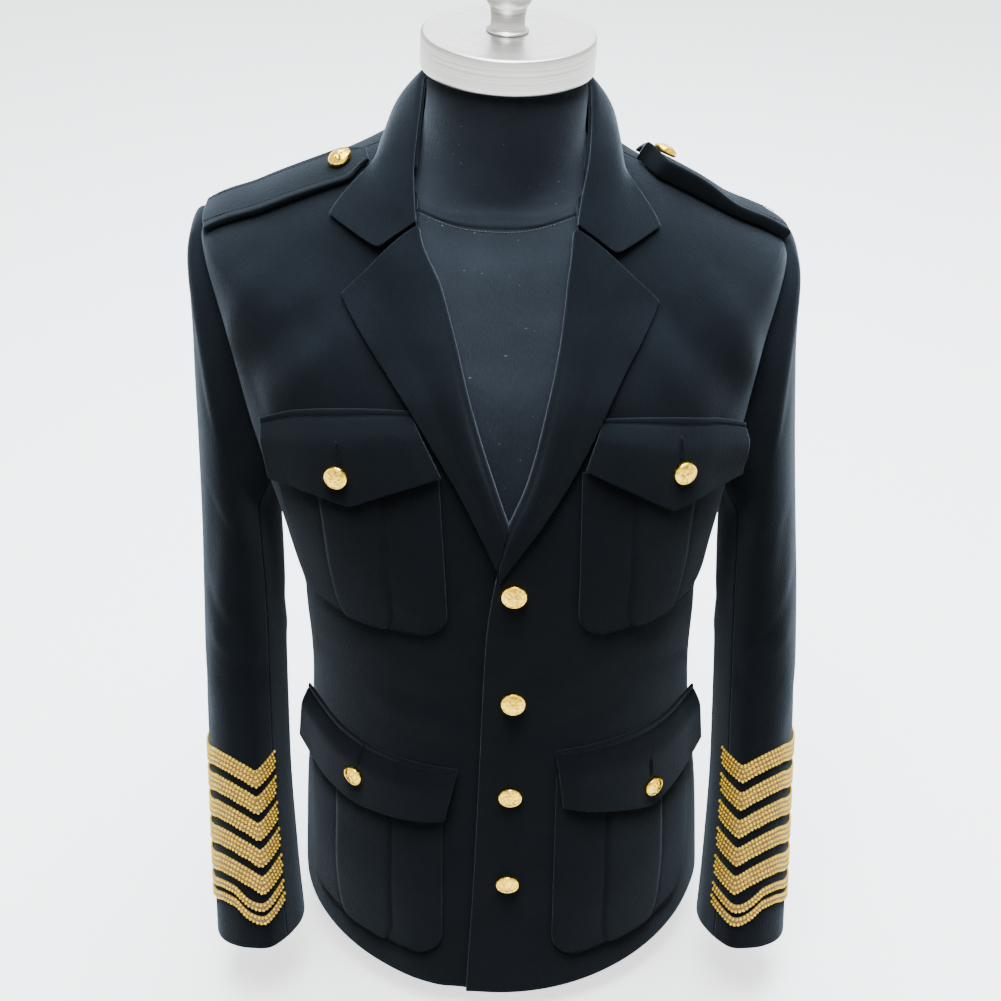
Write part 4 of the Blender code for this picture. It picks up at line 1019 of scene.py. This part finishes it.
# %% Lay the shoulder straps
Strap = namedtuple("Strap", "front_y lift neck_lift neck_level neck_width sleeve_width")
STRAPS = {
    "right": Strap(-0.036, 0.0010, 0.0000, 0.806, 0.036, 0.050),
    "left": Strap(-0.018, 0.0060, 0.0120, 0.804, 0.036, 0.050),
}
STRAP_END_LEVEL, STRAP_WALL, STRAP_TIP = 0.688, 0.0035, 0.014


def strap_lift(strap, along):
    """How far a strap's front edge stands off the shoulder."""
    return strap.lift * ramp(along, 0.1, 0.5) + strap.neck_lift * (1.0 - ramp(along, 0.1, 0.7))


def strap_point(side, strap, share, along, out):
    """A point on a strap: share 0 to 1 from front to back, along 0 to 1 outwards."""
    level = round(strap.neck_level + (STRAP_END_LEVEL - strap.neck_level) * along, 5)
    width = strap.neck_width + (strap.sleeve_width - strap.neck_width) * along
    narrow = STRAP_TIP + (width - STRAP_TIP) * ramp(along, 0.0, 0.16)
    y = strap.front_y + (width - narrow) / 2.0 + narrow * share
    ring = ring_at("jacket", level)
    deep = ring.front_y if y < 0.0 else ring.back_y
    angle = math.degrees(math.acos((y / deep) ** (ring.square / 2.0)))
    turn = angle if y < 0.0 else 180.0 - angle
    return cloth(turn * side, level, out + strap_lift(strap, along) * (1.0 - share))


def epaulette(side_name, side):
    """A shoulder strap from the sleeve head to its button by the collar."""
    strap = STRAPS[side_name]

    def place(share, along, depth):
        lie = LIE + TOUCH - LIE * ramp(along, 0.8, 1.0)
        rim = min(share, 1.0 - share, along * 2.5)
        welt = 0.0007 * (1.0 - ramp(rim, 0.05, 0.12))
        if depth:
            depth += strap_lift(strap, along) * (1.0 - share) * (1.0 - ramp(share, 0.06, 0.22))
        return strap_point(side, strap, share, along, STRAP_WALL + lie + welt - depth)

    shares = [0.0, 0.03, 0.07, 0.10, 0.14] + spread(0.22, 0.78, 7) + [0.86, 0.90, 0.93, 0.97, 1.0]
    alongs = [0.0, 0.01, 0.03, 0.05, 0.07] + spread(0.1, 0.985, 34) + [1.0]
    name = "epaulette_" + side_name
    return wall("blazer_" + name, shares, alongs, place, "wool", name, thickness=STRAP_WALL)


for side_name, side in SIDES:
    declare_sheet(epaulette(side_name, side))

# %% [markdown]
# ## Gold braid
# Every cuff carries six chevrons of looped metallic braid, the apex on the front fold, a short
# arm inside and a long arm to the outside. Four cords of small loops lie side by side on a
# darker ground, whose dark colour is painted shade for the gaps between the loops. The ground is
# a thin wall, and the loops are squashed spheres with few faces, set in rows and shifted by half
# a loop from one row to the next.

# %% Sew on the braid
Cuff = namedtuple("Cuff", "first pitch apex inner climb")
CUFFS = {"left": Cuff(0.4955, 0.0260, 109.0, 145.0, 0.30), "right": Cuff(0.5000, 0.0248, 105.0, 136.0, 0.50)}
CHEVRONS, CHEVRON_WIDTH, CHEVRON_OUTER, CUFF_RADIUS = 6, 0.0180, -66.0, 0.045
Arm = namedtuple("Arm", "away rise")
OUTER_ARM = (
    Arm(0.0, 0.0),
    Arm(17.0, 0.0085),
    Arm(37.0, 0.0140),
    Arm(55.0, 0.0150),
    Arm(75.0, 0.0120),
    Arm(100.0, 0.0100),
    Arm(180.0, 0.0100),
)
BRAID, LOOP_PITCH, LOOP_ACROSS, LOOP_HEIGHT, LOOP_SEAT = 0.0018, 0.0032, 0.0017, 0.0013, 0.0014
EVEN_ROWS = ((0.11, 0.37, 0.63, 0.89), ((0.0, 1.0),))
PARTED_ROWS = ((0.06, 0.31, 0.69, 0.94), ((-0.05, 0.43), (0.57, 1.05)))


def chevron_along(side_name, number, around, share):
    """Where a chevron lies along the sleeve. The last one is flattened at its apex."""
    cuff = CUFFS[side_name]
    away = cuff.apex - around
    climb = math.radians(max(0.0, -away)) * CUFF_RADIUS * cuff.climb
    rise = smooth(OUTER_ARM, away, "rise") if away > 0.0 else climb
    if number == CHEVRONS - 1 and away > 0.0:
        rise *= ramp(away, 0.0, 36.0)
    return cuff.first + cuff.pitch * number - rise + (share - 0.5) * CHEVRON_WIDTH


def chevron_ground(side_name, side, number, low, high):
    """A strip of the woven ground under the loops, coloured dark as painted shade between them."""
    cuff = CUFFS[side_name]

    def place(around, share, depth):
        hump = abs(math.sin(2.0 * math.pi * share))
        out = LIE * 0.3 if depth else LIE * 0.3 + 0.0008 + 0.0003 * hump
        inset = low + 0.04 + (high - low - 0.08) * share
        return sleeve(side, around, chevron_along(side_name, number, around, inset), out)

    arounds = spread(cuff.inner - 1.0, cuff.apex, 12) + spread(cuff.apex, CHEVRON_OUTER + 1.0, 44)[1:]
    name = f"ground_{side_name}_{number + 1}_{'upper' if low < 0.3 else 'lower'}"
    return wall(name, arounds, spread(0.0, 1.0, 7), place, "ground", thickness=BRAID)


def loop_stations(side_name, side, number, share, shift):
    """Turns round the cuff at which the loops of one cord sit, a loop's length apart."""
    around, stations = CUFFS[side_name].inner, []
    while around > CHEVRON_OUTER:
        here = sleeve(side, around, chevron_along(side_name, number, around, share))
        ahead = sleeve(side, around - 1.0, chevron_along(side_name, number, around - 1.0, share))
        step = LOOP_PITCH / (ahead - here).length
        if shift and not stations:
            around -= shift * step
            shift = 0.0
            continue
        stations.append(around)
        around -= step
    return stations


def chevron_loops(side_name, side, number):
    """Rows of loops along both arms of a chevron."""
    shape = bmesh.new()
    shares, _ = PARTED_ROWS if number == CHEVRONS - 1 else EVEN_ROWS
    for row, share in enumerate(shares):
        for count, around in enumerate(loop_stations(side_name, side, number, share, 0.5 * (row % 2))):
            along = chevron_along(side_name, number, around, share)
            seat = sleeve(side, around, along, LOOP_SEAT)
            out = (sleeve(side, around, along, 0.01) - seat).normalized()
            beyond = chevron_along(side_name, number, around - 2.0, share)
            ahead = (sleeve(side, around - 2.0, beyond, LOOP_SEAT) - seat).normalized()
            across = out.cross(ahead).normalized()
            lean = (0.45 if row % 2 else -0.45) + 0.12 * math.sin(2.4 * count + row)
            axes = Matrix((ahead, across, out)).transposed() @ Matrix.Rotation(lean, 3, "Z")
            matrix = axes.to_4x4()
            matrix.translation = seat
            loop = bmesh.ops.create_icosphere(shape, subdivisions=1, radius=1.0)["verts"]
            size = 1.0 + 0.10 * math.sin(5.1 * count + 1.7 * row)
            bmesh.ops.scale(shape, vec=(LOOP_PITCH * 0.47, LOOP_ACROSS * size, LOOP_HEIGHT), verts=loop)
            bmesh.ops.transform(shape, matrix=matrix, verts=loop)
    name = f"chevron_{side_name}_{number + 1}"
    return add_piece("braid_" + name, shape, "loops", name)


for side_name, side in SIDES:
    trims = []
    for number in range(CHEVRONS):
        _, strips = PARTED_ROWS if number == CHEVRONS - 1 else EVEN_ROWS
        trims += [chevron_ground(side_name, side, number, low, high) for low, high in strips]
        trims.append(chevron_loops(side_name, side, number))
    declare_sheet(sleeves["top_" + side_name])
    declare_sheet(sleeves["under_" + side_name])
print(2 * CHEVRONS, "chevrons")

# %% [markdown]
# ## Buttons
# The buttons are gilt domes with a corded rim and a raised device. The device here is a plain
# rosette of eight petals, so that the buttons copy no maker's or unit's badge. Each is spun
# from a profile, and the rosette and the rim's cord are pushed up afterwards by a formula of
# the turn and the radius.

# %% Make the buttons
BUTTON_HEIGHT, PETALS, CORD_TURNS = 0.0062, 8, 40


def gilt_button(name):
    """A domed button that stands exactly where its plain node stands."""
    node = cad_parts[name]
    points = [vert.co.copy() for vert in node.data.vertices]
    centre = sum(points, Vector()) / len(points)
    rim = max(points, key=lambda p: (p - centre).length)
    radius = (rim - centre).length
    spread_matrix = Matrix(((0, 0, 0), (0, 0, 0), (0, 0, 0)))
    for point in points:
        away = point - centre
        for i in range(3):
            for j in range(3):
                spread_matrix[i][j] += away[i] * away[j]
    facing = thin_axis(spread_matrix)
    low = min((p - centre).dot(facing) for p in points)
    high = max((p - centre).dot(facing) for p in points)
    wide_low = sum((p - centre).dot(facing) for p in points if (p - centre).length > 0.85 * radius)
    if wide_low > 0.0:
        facing, low, high = -facing, -high, -low
    seat = centre + facing * low
    radius = max(((p - seat) - facing * (p - seat).dot(facing)).length for p in points)
    return spin_button("gilt_" + name, radius, seat, facing, name)


def thin_axis(spread_matrix):
    """The direction in which a set of points is thinnest, by repeated inverse steps."""
    trace = spread_matrix[0][0] + spread_matrix[1][1] + spread_matrix[2][2]
    solver = spread_matrix.copy()
    for i in range(3):
        solver[i][i] += trace * 1e-6
    solver.invert()
    axis = Vector((0.3, -0.8, 0.5))
    for _ in range(30):
        axis = (solver @ axis).normalized()
    return axis


def spin_profile(shape, profile, steps):
    """Spin a profile of (radius, height) points once round the Z axis."""
    verts = [shape.verts.new((r, 0.0, h)) for r, h in profile]
    edges = [shape.edges.new(pair) for pair in zip(verts, verts[1:])]
    bmesh.ops.spin(shape, geom=verts + edges, cent=(0, 0, 0), axis=(0, 0, 1), angle=math.tau,
                   steps=steps, use_merge=True)
    bmesh.ops.remove_doubles(shape, verts=shape.verts, dist=0.000002)


def spin_button(name, radius, seat, facing, node):
    """Spin a button's profile, then raise its rim cord and its rosette."""
    shape = bmesh.new()
    profile = [(0.0, BUTTON_HEIGHT)]
    profile += [(radius * s, BUTTON_HEIGHT * (1.0 - 0.42 * s * s)) for s in spread(0.06, 0.78, 13)]
    profile += [(radius * s, BUTTON_HEIGHT * h) for s, h in (
        (0.82, 0.66), (0.86, 0.72), (0.90, 0.73), (0.94, 0.68), (0.98, 0.52), (1.0, 0.34),
        (0.985, 0.2), (0.93, 0.06), (0.80, 0.0))]
    spin_profile(shape, profile, 80)
    rims = [edge for edge in shape.edges if edge.is_boundary]
    bmesh.ops.holes_fill(shape, edges=rims, sides=0)
    for vert in shape.verts:
        reach = math.hypot(vert.co.x, vert.co.y) / radius
        angle = math.atan2(vert.co.y, vert.co.x)
        petal = max(0.0, math.cos(PETALS / 2.0 * angle) ** 2 - 0.25)
        inside = ramp(reach, 0.14, 0.24) * (1.0 - ramp(reach, 0.50, 0.62))
        cord = 0.5 + 0.5 * math.cos(CORD_TURNS * angle + 9.0 * reach)
        ring = max(0.0, 1.0 - abs(reach - 0.70) / 0.05)
        heart = 1.0 - ramp(reach, 0.10, 0.16)
        vert.co.z += 0.0007 * petal * inside + 0.0005 * heart + 0.0005 * ring * cord
    bmesh.ops.recalc_face_normals(shape, faces=shape.faces)
    matrix = facing.to_track_quat("Z", "Y").to_matrix().to_4x4()
    matrix.translation = seat
    bmesh.ops.transform(shape, matrix=matrix, verts=shape.verts)
    return add_piece(name, shape, "gilt", node)


buttons = [name for name in sorted(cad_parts) if "button" in name]
for name in buttons:
    gilt_button(name)
print(len(buttons), "buttons")

# %% [markdown]
# ## Stitches
# Black thread on black cloth still shows, because each stitch catches light. A stitch is a
# short five-sided bar pressed into the cloth. They are laid along lines worked out on the same
# surfaces: the welts of the flaps, round the pockets, the strap rims and the buttonholes.

# %% Lay the stitches
STITCH, STITCH_PITCH, STITCH_RADIUS = 0.0024, 0.0032, 0.00034


def lay_stitches(shape, line, pitch=STITCH_PITCH, length=STITCH, radius=STITCH_RADIUS):
    """Stitches along a line of points, half sunk in the cloth."""
    carried = 0.0
    for start, end in zip(line, line[1:]):
        run = end - start
        while carried < run.length:
            here = start + run.normalized() * carried
            turn = run.to_track_quat("Z", "Y").to_matrix().to_4x4()
            turn.translation = here
            bmesh.ops.create_cone(shape, cap_ends=True, segments=5, radius1=radius, radius2=radius,
                                  depth=length, matrix=turn)
            carried += pitch
        carried -= run.length


def flap_stitches(shape, side, flap):
    """The welt line under a flap's top edge."""
    line = [flap_surface(flap, side, s, WELT, 0.0001) for s in spread(0.01, 0.99, 60)]
    lay_stitches(shape, line)


def pocket_stitches(shape, side, pocket):
    """Round a pocket, a little inside its edge."""
    edge = 1.0 - 0.0030 / (pocket.width / 2.0)
    corner = [pocket.height - pocket.corner * (1.0 - math.sin(math.radians(a))) for a in spread(0, 74, 9)]
    downs = spread(0.02, corner[0], 40) + corner[1:]
    out = CLOTH + LIE * 0.7 + 0.0001
    left = [pocket_point(pocket, side, -edge, down, out) for down in downs]
    right = [pocket_point(pocket, side, edge, down, out) for down in downs]
    low = pocket.height * 0.985
    foot = [pocket_point(pocket, side, u, low, out + 0.0004) for u in spread(-0.9, 0.9, 24)]
    for line in (left, right, foot):
        lay_stitches(shape, line)


def buttonhole(shape, side, flap):
    """A worked buttonhole above a flap's button: short bars round a slit."""
    height = flap.top - flap.fall * 0.25 - flap_level(flap, 0.5, 1.0)
    middle = (flap.drop - 0.020) / height
    for angle in spread(0.0, 2.0 * math.pi, 35)[:-1]:
        share = 0.5 + 0.0011 / flap.width * math.sin(angle)
        v = middle + 0.0085 / height * math.cos(angle)
        inside = flap_surface(flap, side, share, v, 0.0003)
        out_share = 0.5 + 0.0024 / flap.width * math.sin(angle)
        outside = flap_surface(flap, side, out_share, middle + 0.0098 / height * math.cos(angle), 0.0003)
        lay_stitches(shape, [inside, outside], pitch=1.0, length=0.0016, radius=0.0004)


def strap_stitches(shape, side, strap):
    """Along both edges of a strap, inside its turned rim."""
    for share in (0.13, 0.87):
        line = [strap_point(side, strap, share, a, STRAP_WALL + LIE + TOUCH) for a in spread(0.05, 0.97, 50)]
        lay_stitches(shape, line)


for side_name, side in SIDES:
    stitches = bmesh.new()
    for place_name in ("breast", "lower"):
        flap_stitches(stitches, side, FLAPS[f"{place_name}_flap_{side_name}"])
        pocket_stitches(stitches, side, POCKETS[f"{place_name}_pocket_{side_name}"])
        buttonhole(stitches, side, FLAPS[f"{place_name}_flap_{side_name}"])
    strap_stitches(stitches, side, STRAPS[side_name])
    print("stitch faces:", len(stitches.faces))
    add_piece("stitches_" + side_name, stitches, "thread")

# %% [markdown]
# ## The dress form
# The form is a padded torso in black jersey. Its neck is a plain tube, and round its foot the
# jersey has a bound neckline: a narrow band with a line of paler stitches below it. The band is
# a low ridge in the same grid, so it can't come loose from the body.

# %% Cover the form
NECKLINE, NECKLINE_DIP, BAND = 0.8340, 0.180, 0.0100


def neckline_level(turn, level):
    """The form's rows near its neckline dip towards the shoulders."""
    near = ramp(level, 0.760, NECKLINE) * (1.0 - ramp(level, NECKLINE + BAND + 0.002, 0.892))
    dip = NECKLINE_DIP * math.sin(math.radians(turn) / 2.0) ** 2
    return level - near * 0.046 * math.tanh(dip / 0.046)


def form_point(turn, level, out=0.0):
    """A point of the form, with the neckline's band standing a little proud."""
    ring = ring_at("form", round(neckline_level(turn, level), 6))
    point = ring_point(ring, turn)
    top = NECKLINE + BAND
    band = ramp(level, NECKLINE, NECKLINE + 0.0015) * (1.0 - ramp(level, top, top + 0.002))
    away = Vector((point.x, point.y, 0.0)).normalized()
    return settle(point + away * (out + 0.0011 * band))


def jersey_form():
    """The whole form: a closed grid of rings, flat below and flat at the top of its neck."""
    turns = spread(-180.0, 180.0, 97)
    levels = [0.0, 0.002, 0.007, 0.012] + spread(0.02, 0.815, 67)
    levels += [NECKLINE - 0.012, NECKLINE - 0.004, NECKLINE - 0.001, NECKLINE + 0.0004, NECKLINE + 0.0015,
               NECKLINE + 0.004, NECKLINE + 0.008, NECKLINE + BAND - 0.001, NECKLINE + BAND + 0.001,
               NECKLINE + BAND + 0.003]
    levels += spread(0.851, 0.903, 14) + [0.905]
    shape = bmesh.new()
    bmesh.ops.create_grid(shape, x_segments=len(turns) - 1, y_segments=len(levels) - 1, size=0.5)
    map_layer = shape.loops.layers.uv.new("cut")
    for face in shape.faces:
        for loop in face.loops:
            loop[map_layer].uv = ((loop.vert.co.x + 0.5) * 0.96, (loop.vert.co.y + 0.5) * 0.90)
    for vert in shape.verts:
        column = round((vert.co.x + 0.5) * (len(turns) - 1))
        row = round((vert.co.y + 0.5) * (len(levels) - 1))
        vert.co = form_point(turns[column], levels[row])
    bmesh.ops.remove_doubles(shape, verts=shape.verts, dist=0.00002)
    rims = [edge for edge in shape.edges if edge.is_boundary]
    bmesh.ops.holes_fill(shape, edges=rims, sides=0)
    bmesh.ops.recalc_face_normals(shape, faces=shape.faces)
    return add_piece("jersey_form", shape, "jersey", "form_body")


jersey_form()
neckline = bmesh.new()
neck_line = [form_point(turn, NECKLINE - 0.0022, 0.0002) for turn in spread(-100.0, 100.0, 160)]
lay_stitches(neckline, neck_line, pitch=0.0026, length=0.0021, radius=0.0003)
add_piece("neckline_stitches", neckline, "pale_thread")

# %% [markdown]
# ## Cap and finial
# A turned steel cap closes the neck, with a stem and a ball on top. Both are spun from a
# profile with small rounded arrises. The V of the UV map runs along the profile, so the
# brushing goes round.

# %% Turn the cap and its finial
CAP_RADIUS, CAP_HEIGHT, CAP_TILT = 0.0625, 0.0255, 2.3
STEM_RADIUS, STEM_HEIGHT, BALL_RADIUS = 0.0122, 0.012, 0.0178


def turn_steel(name, profile, matrix, node):
    """Spin a profile that runs from the top of a piece to its bottom."""
    shape = bmesh.new()
    spin_profile(shape, profile, 112)
    bmesh.ops.recalc_face_normals(shape, faces=shape.faces)
    map_layer = shape.loops.layers.uv.new("cut")
    for face in shape.faces:
        for loop in face.loops:
            co = loop.vert.co
            along = CAP_RADIUS + CAP_HEIGHT - co.z
            if face.normal.z > 0.5:
                along = CAP_RADIUS - math.hypot(co.x, co.y)
            loop[map_layer].uv = (math.atan2(co.y, abs(co.x)) / math.tau, along)
    bmesh.ops.transform(shape, matrix=matrix, verts=shape.verts)
    return add_piece(name, shape, "steel", node)


seat = settle(Vector((0.0, 0.0, RINGS["form"][-1].side_z)))
tilt = Matrix.Rotation(math.radians(CAP_TILT), 4, "Y")
arris = [(CAP_RADIUS - 0.0024 * (1.0 - math.sin(a)), CAP_HEIGHT - 0.0024 * (1.0 - math.cos(a)))
         for a in spread(0.0, math.pi / 2.0, 7)]
cap_profile = [(0.0, CAP_HEIGHT + 0.0008), (CAP_RADIUS * 0.3, CAP_HEIGHT + 0.0007)]
cap_profile += [(CAP_RADIUS * 0.7, CAP_HEIGHT + 0.0004)] + arris
cap_profile += [(CAP_RADIUS, 0.0022), (CAP_RADIUS - 0.0004, 0.0007), (CAP_RADIUS - 0.0016, 0.0), (0.0, 0.0)]
turn_steel("steel_cap", cap_profile, Matrix.Translation(seat + Vector((0.0, 0.0, 0.0004))) @ tilt, "neck_cap")
ball = [(0.0, STEM_HEIGHT + 2.0 * BALL_RADIUS * 0.94)]
for angle in spread(80.0, -42.0, 18):
    rise = STEM_HEIGHT + BALL_RADIUS * 0.94 * (1.0 + math.sin(math.radians(angle)))
    ball.append((BALL_RADIUS * math.cos(math.radians(angle)), rise))
ball += [(STEM_RADIUS * 1.02, STEM_HEIGHT), (STEM_RADIUS, STEM_HEIGHT - 0.001), (STEM_RADIUS, 0.003)]
ball += [(STEM_RADIUS * 1.12, 0.0014), (STEM_RADIUS * 1.25, 0.0006), (STEM_RADIUS * 1.25, 0.0), (0.0, 0.0)]
lift = Vector((0.0, 0.0, 0.0004 + CAP_HEIGHT + 0.0012))
turn_steel("steel_finial", ball, Matrix.Translation(seat + lift) @ tilt, "finial")

# %% [markdown]
# ## Camera, floor and light
# The photograph looks down on the garment from the front, through a moderately long lens. The
# floor is plain and pale, and large soft lights stand above, in front and behind, because a
# shop's light tent wraps black cloth in an even glow.

# %% Set the camera, floor and lights
IMAGE_SIZE, FOCAL_PIXELS, SENSOR = 1001, 1800.0, 36.0
CAMERA_PLACE = (0.0, -1.245 + BALANCE, 1.239)
CAMERA_PITCH = 32.9
FLOOR_GLOW, TENT_GLOW = 1.7, 1.12
# The floor's rings beyond its flat middle, as (reach, height): it curves up behind like a cove
COVE = ((4.0, 0.0), (4.6, 0.1), (5.1, 0.4), (5.4, 0.9), (5.5, 2.0), (5.5, 6.0))

camera_data = bpy.data.cameras.new("camera")
camera_data.sensor_width = SENSOR
camera_data.lens = FOCAL_PIXELS / IMAGE_SIZE * SENSOR
camera = bpy.data.objects.new("camera", camera_data)
camera.location = CAMERA_PLACE
camera.rotation_euler = (math.radians(90.0 - CAMERA_PITCH), 0.0, 0.0)
bpy.context.scene.collection.objects.link(camera)
bpy.context.scene.camera = camera

floor_shape = bmesh.new()
bmesh.ops.create_circle(floor_shape, cap_ends=True, segments=64, radius=COVE[0][0])
for reach, height in COVE[1:]:
    rim = [edge for edge in floor_shape.edges if edge.is_boundary]
    grown = bmesh.ops.extrude_edge_only(floor_shape, edges=rim)["geom"]
    for vert in (item for item in grown if isinstance(item, bmesh.types.BMVert)):
        away = vert.co.to_2d().normalized() * reach
        vert.co = (away.x, away.y, height)
floor_mesh = bpy.data.meshes.new("floor")
floor_shape.to_mesh(floor_mesh)
floor_shape.free()
floor = bpy.data.objects.new("floor", floor_mesh)
floor.location = (0.0, 0.0, -0.0005)
bpy.context.scene.collection.objects.link(floor)
floor_finish, _, floor_shader = start_material("pale_floor", (0.95, 0.95, 0.95), 0.9)
floor_shader.inputs["Emission Color"].default_value = (1.0, 1.0, 1.0, 1.0)
floor_shader.inputs["Emission Strength"].default_value = FLOOR_GLOW
floor_mesh.materials.append(floor_finish)
floor_mesh.shade_smooth()
floor.visible_diffuse = False
floor.visible_shadow = False


def soft_light(name, place, aim, size, power, colour=(1.0, 1.0, 1.0)):
    """A square area light that points at a place."""
    data = bpy.data.lights.new(name, "AREA")
    data.size = size
    data.energy = power
    data.color = colour
    lamp = bpy.data.objects.new(name, data)
    lamp.location = place
    lamp.rotation_euler = (Vector(aim) - Vector(place)).to_track_quat("-Z", "Y").to_euler()
    bpy.context.scene.collection.objects.link(lamp)


soft_light("top_tent", (0.12, 0.30, 2.5), (0.0, 0.0, 0.6), 1.7, 175.0, (0.84, 0.93, 1.0))
soft_light("front_fill", (-0.2, -0.95, 2.9), (0.0, 0.0, 0.70), 1.0, 72.0, (0.92, 0.96, 1.0))
soft_light("back_glow", (0.3, 1.8, 1.7), (0.0, 0.0, 0.70), 1.6, 30.0, (0.86, 0.93, 1.0))
world = bpy.data.worlds.new("tent")
world.use_nodes = True
sky = world.node_tree
direction = sky.nodes.new("ShaderNodeTexCoord").outputs["Generated"]
split = sky.nodes.new("ShaderNodeSeparateXYZ")
sky.links.new(direction, split.inputs["Vector"])
glow = add_ramp(sky, split.outputs["Z"], ((0.40, (0.020, 0.022, 0.024)), (1.00, (0.88, 0.95, 1.0))))
sky.links.new(glow, sky.nodes["Background"].inputs["Color"])
sky.nodes["Background"].inputs["Strength"].default_value = TENT_GLOW
bpy.context.scene.world = world
print("camera at", CAMERA_PLACE)
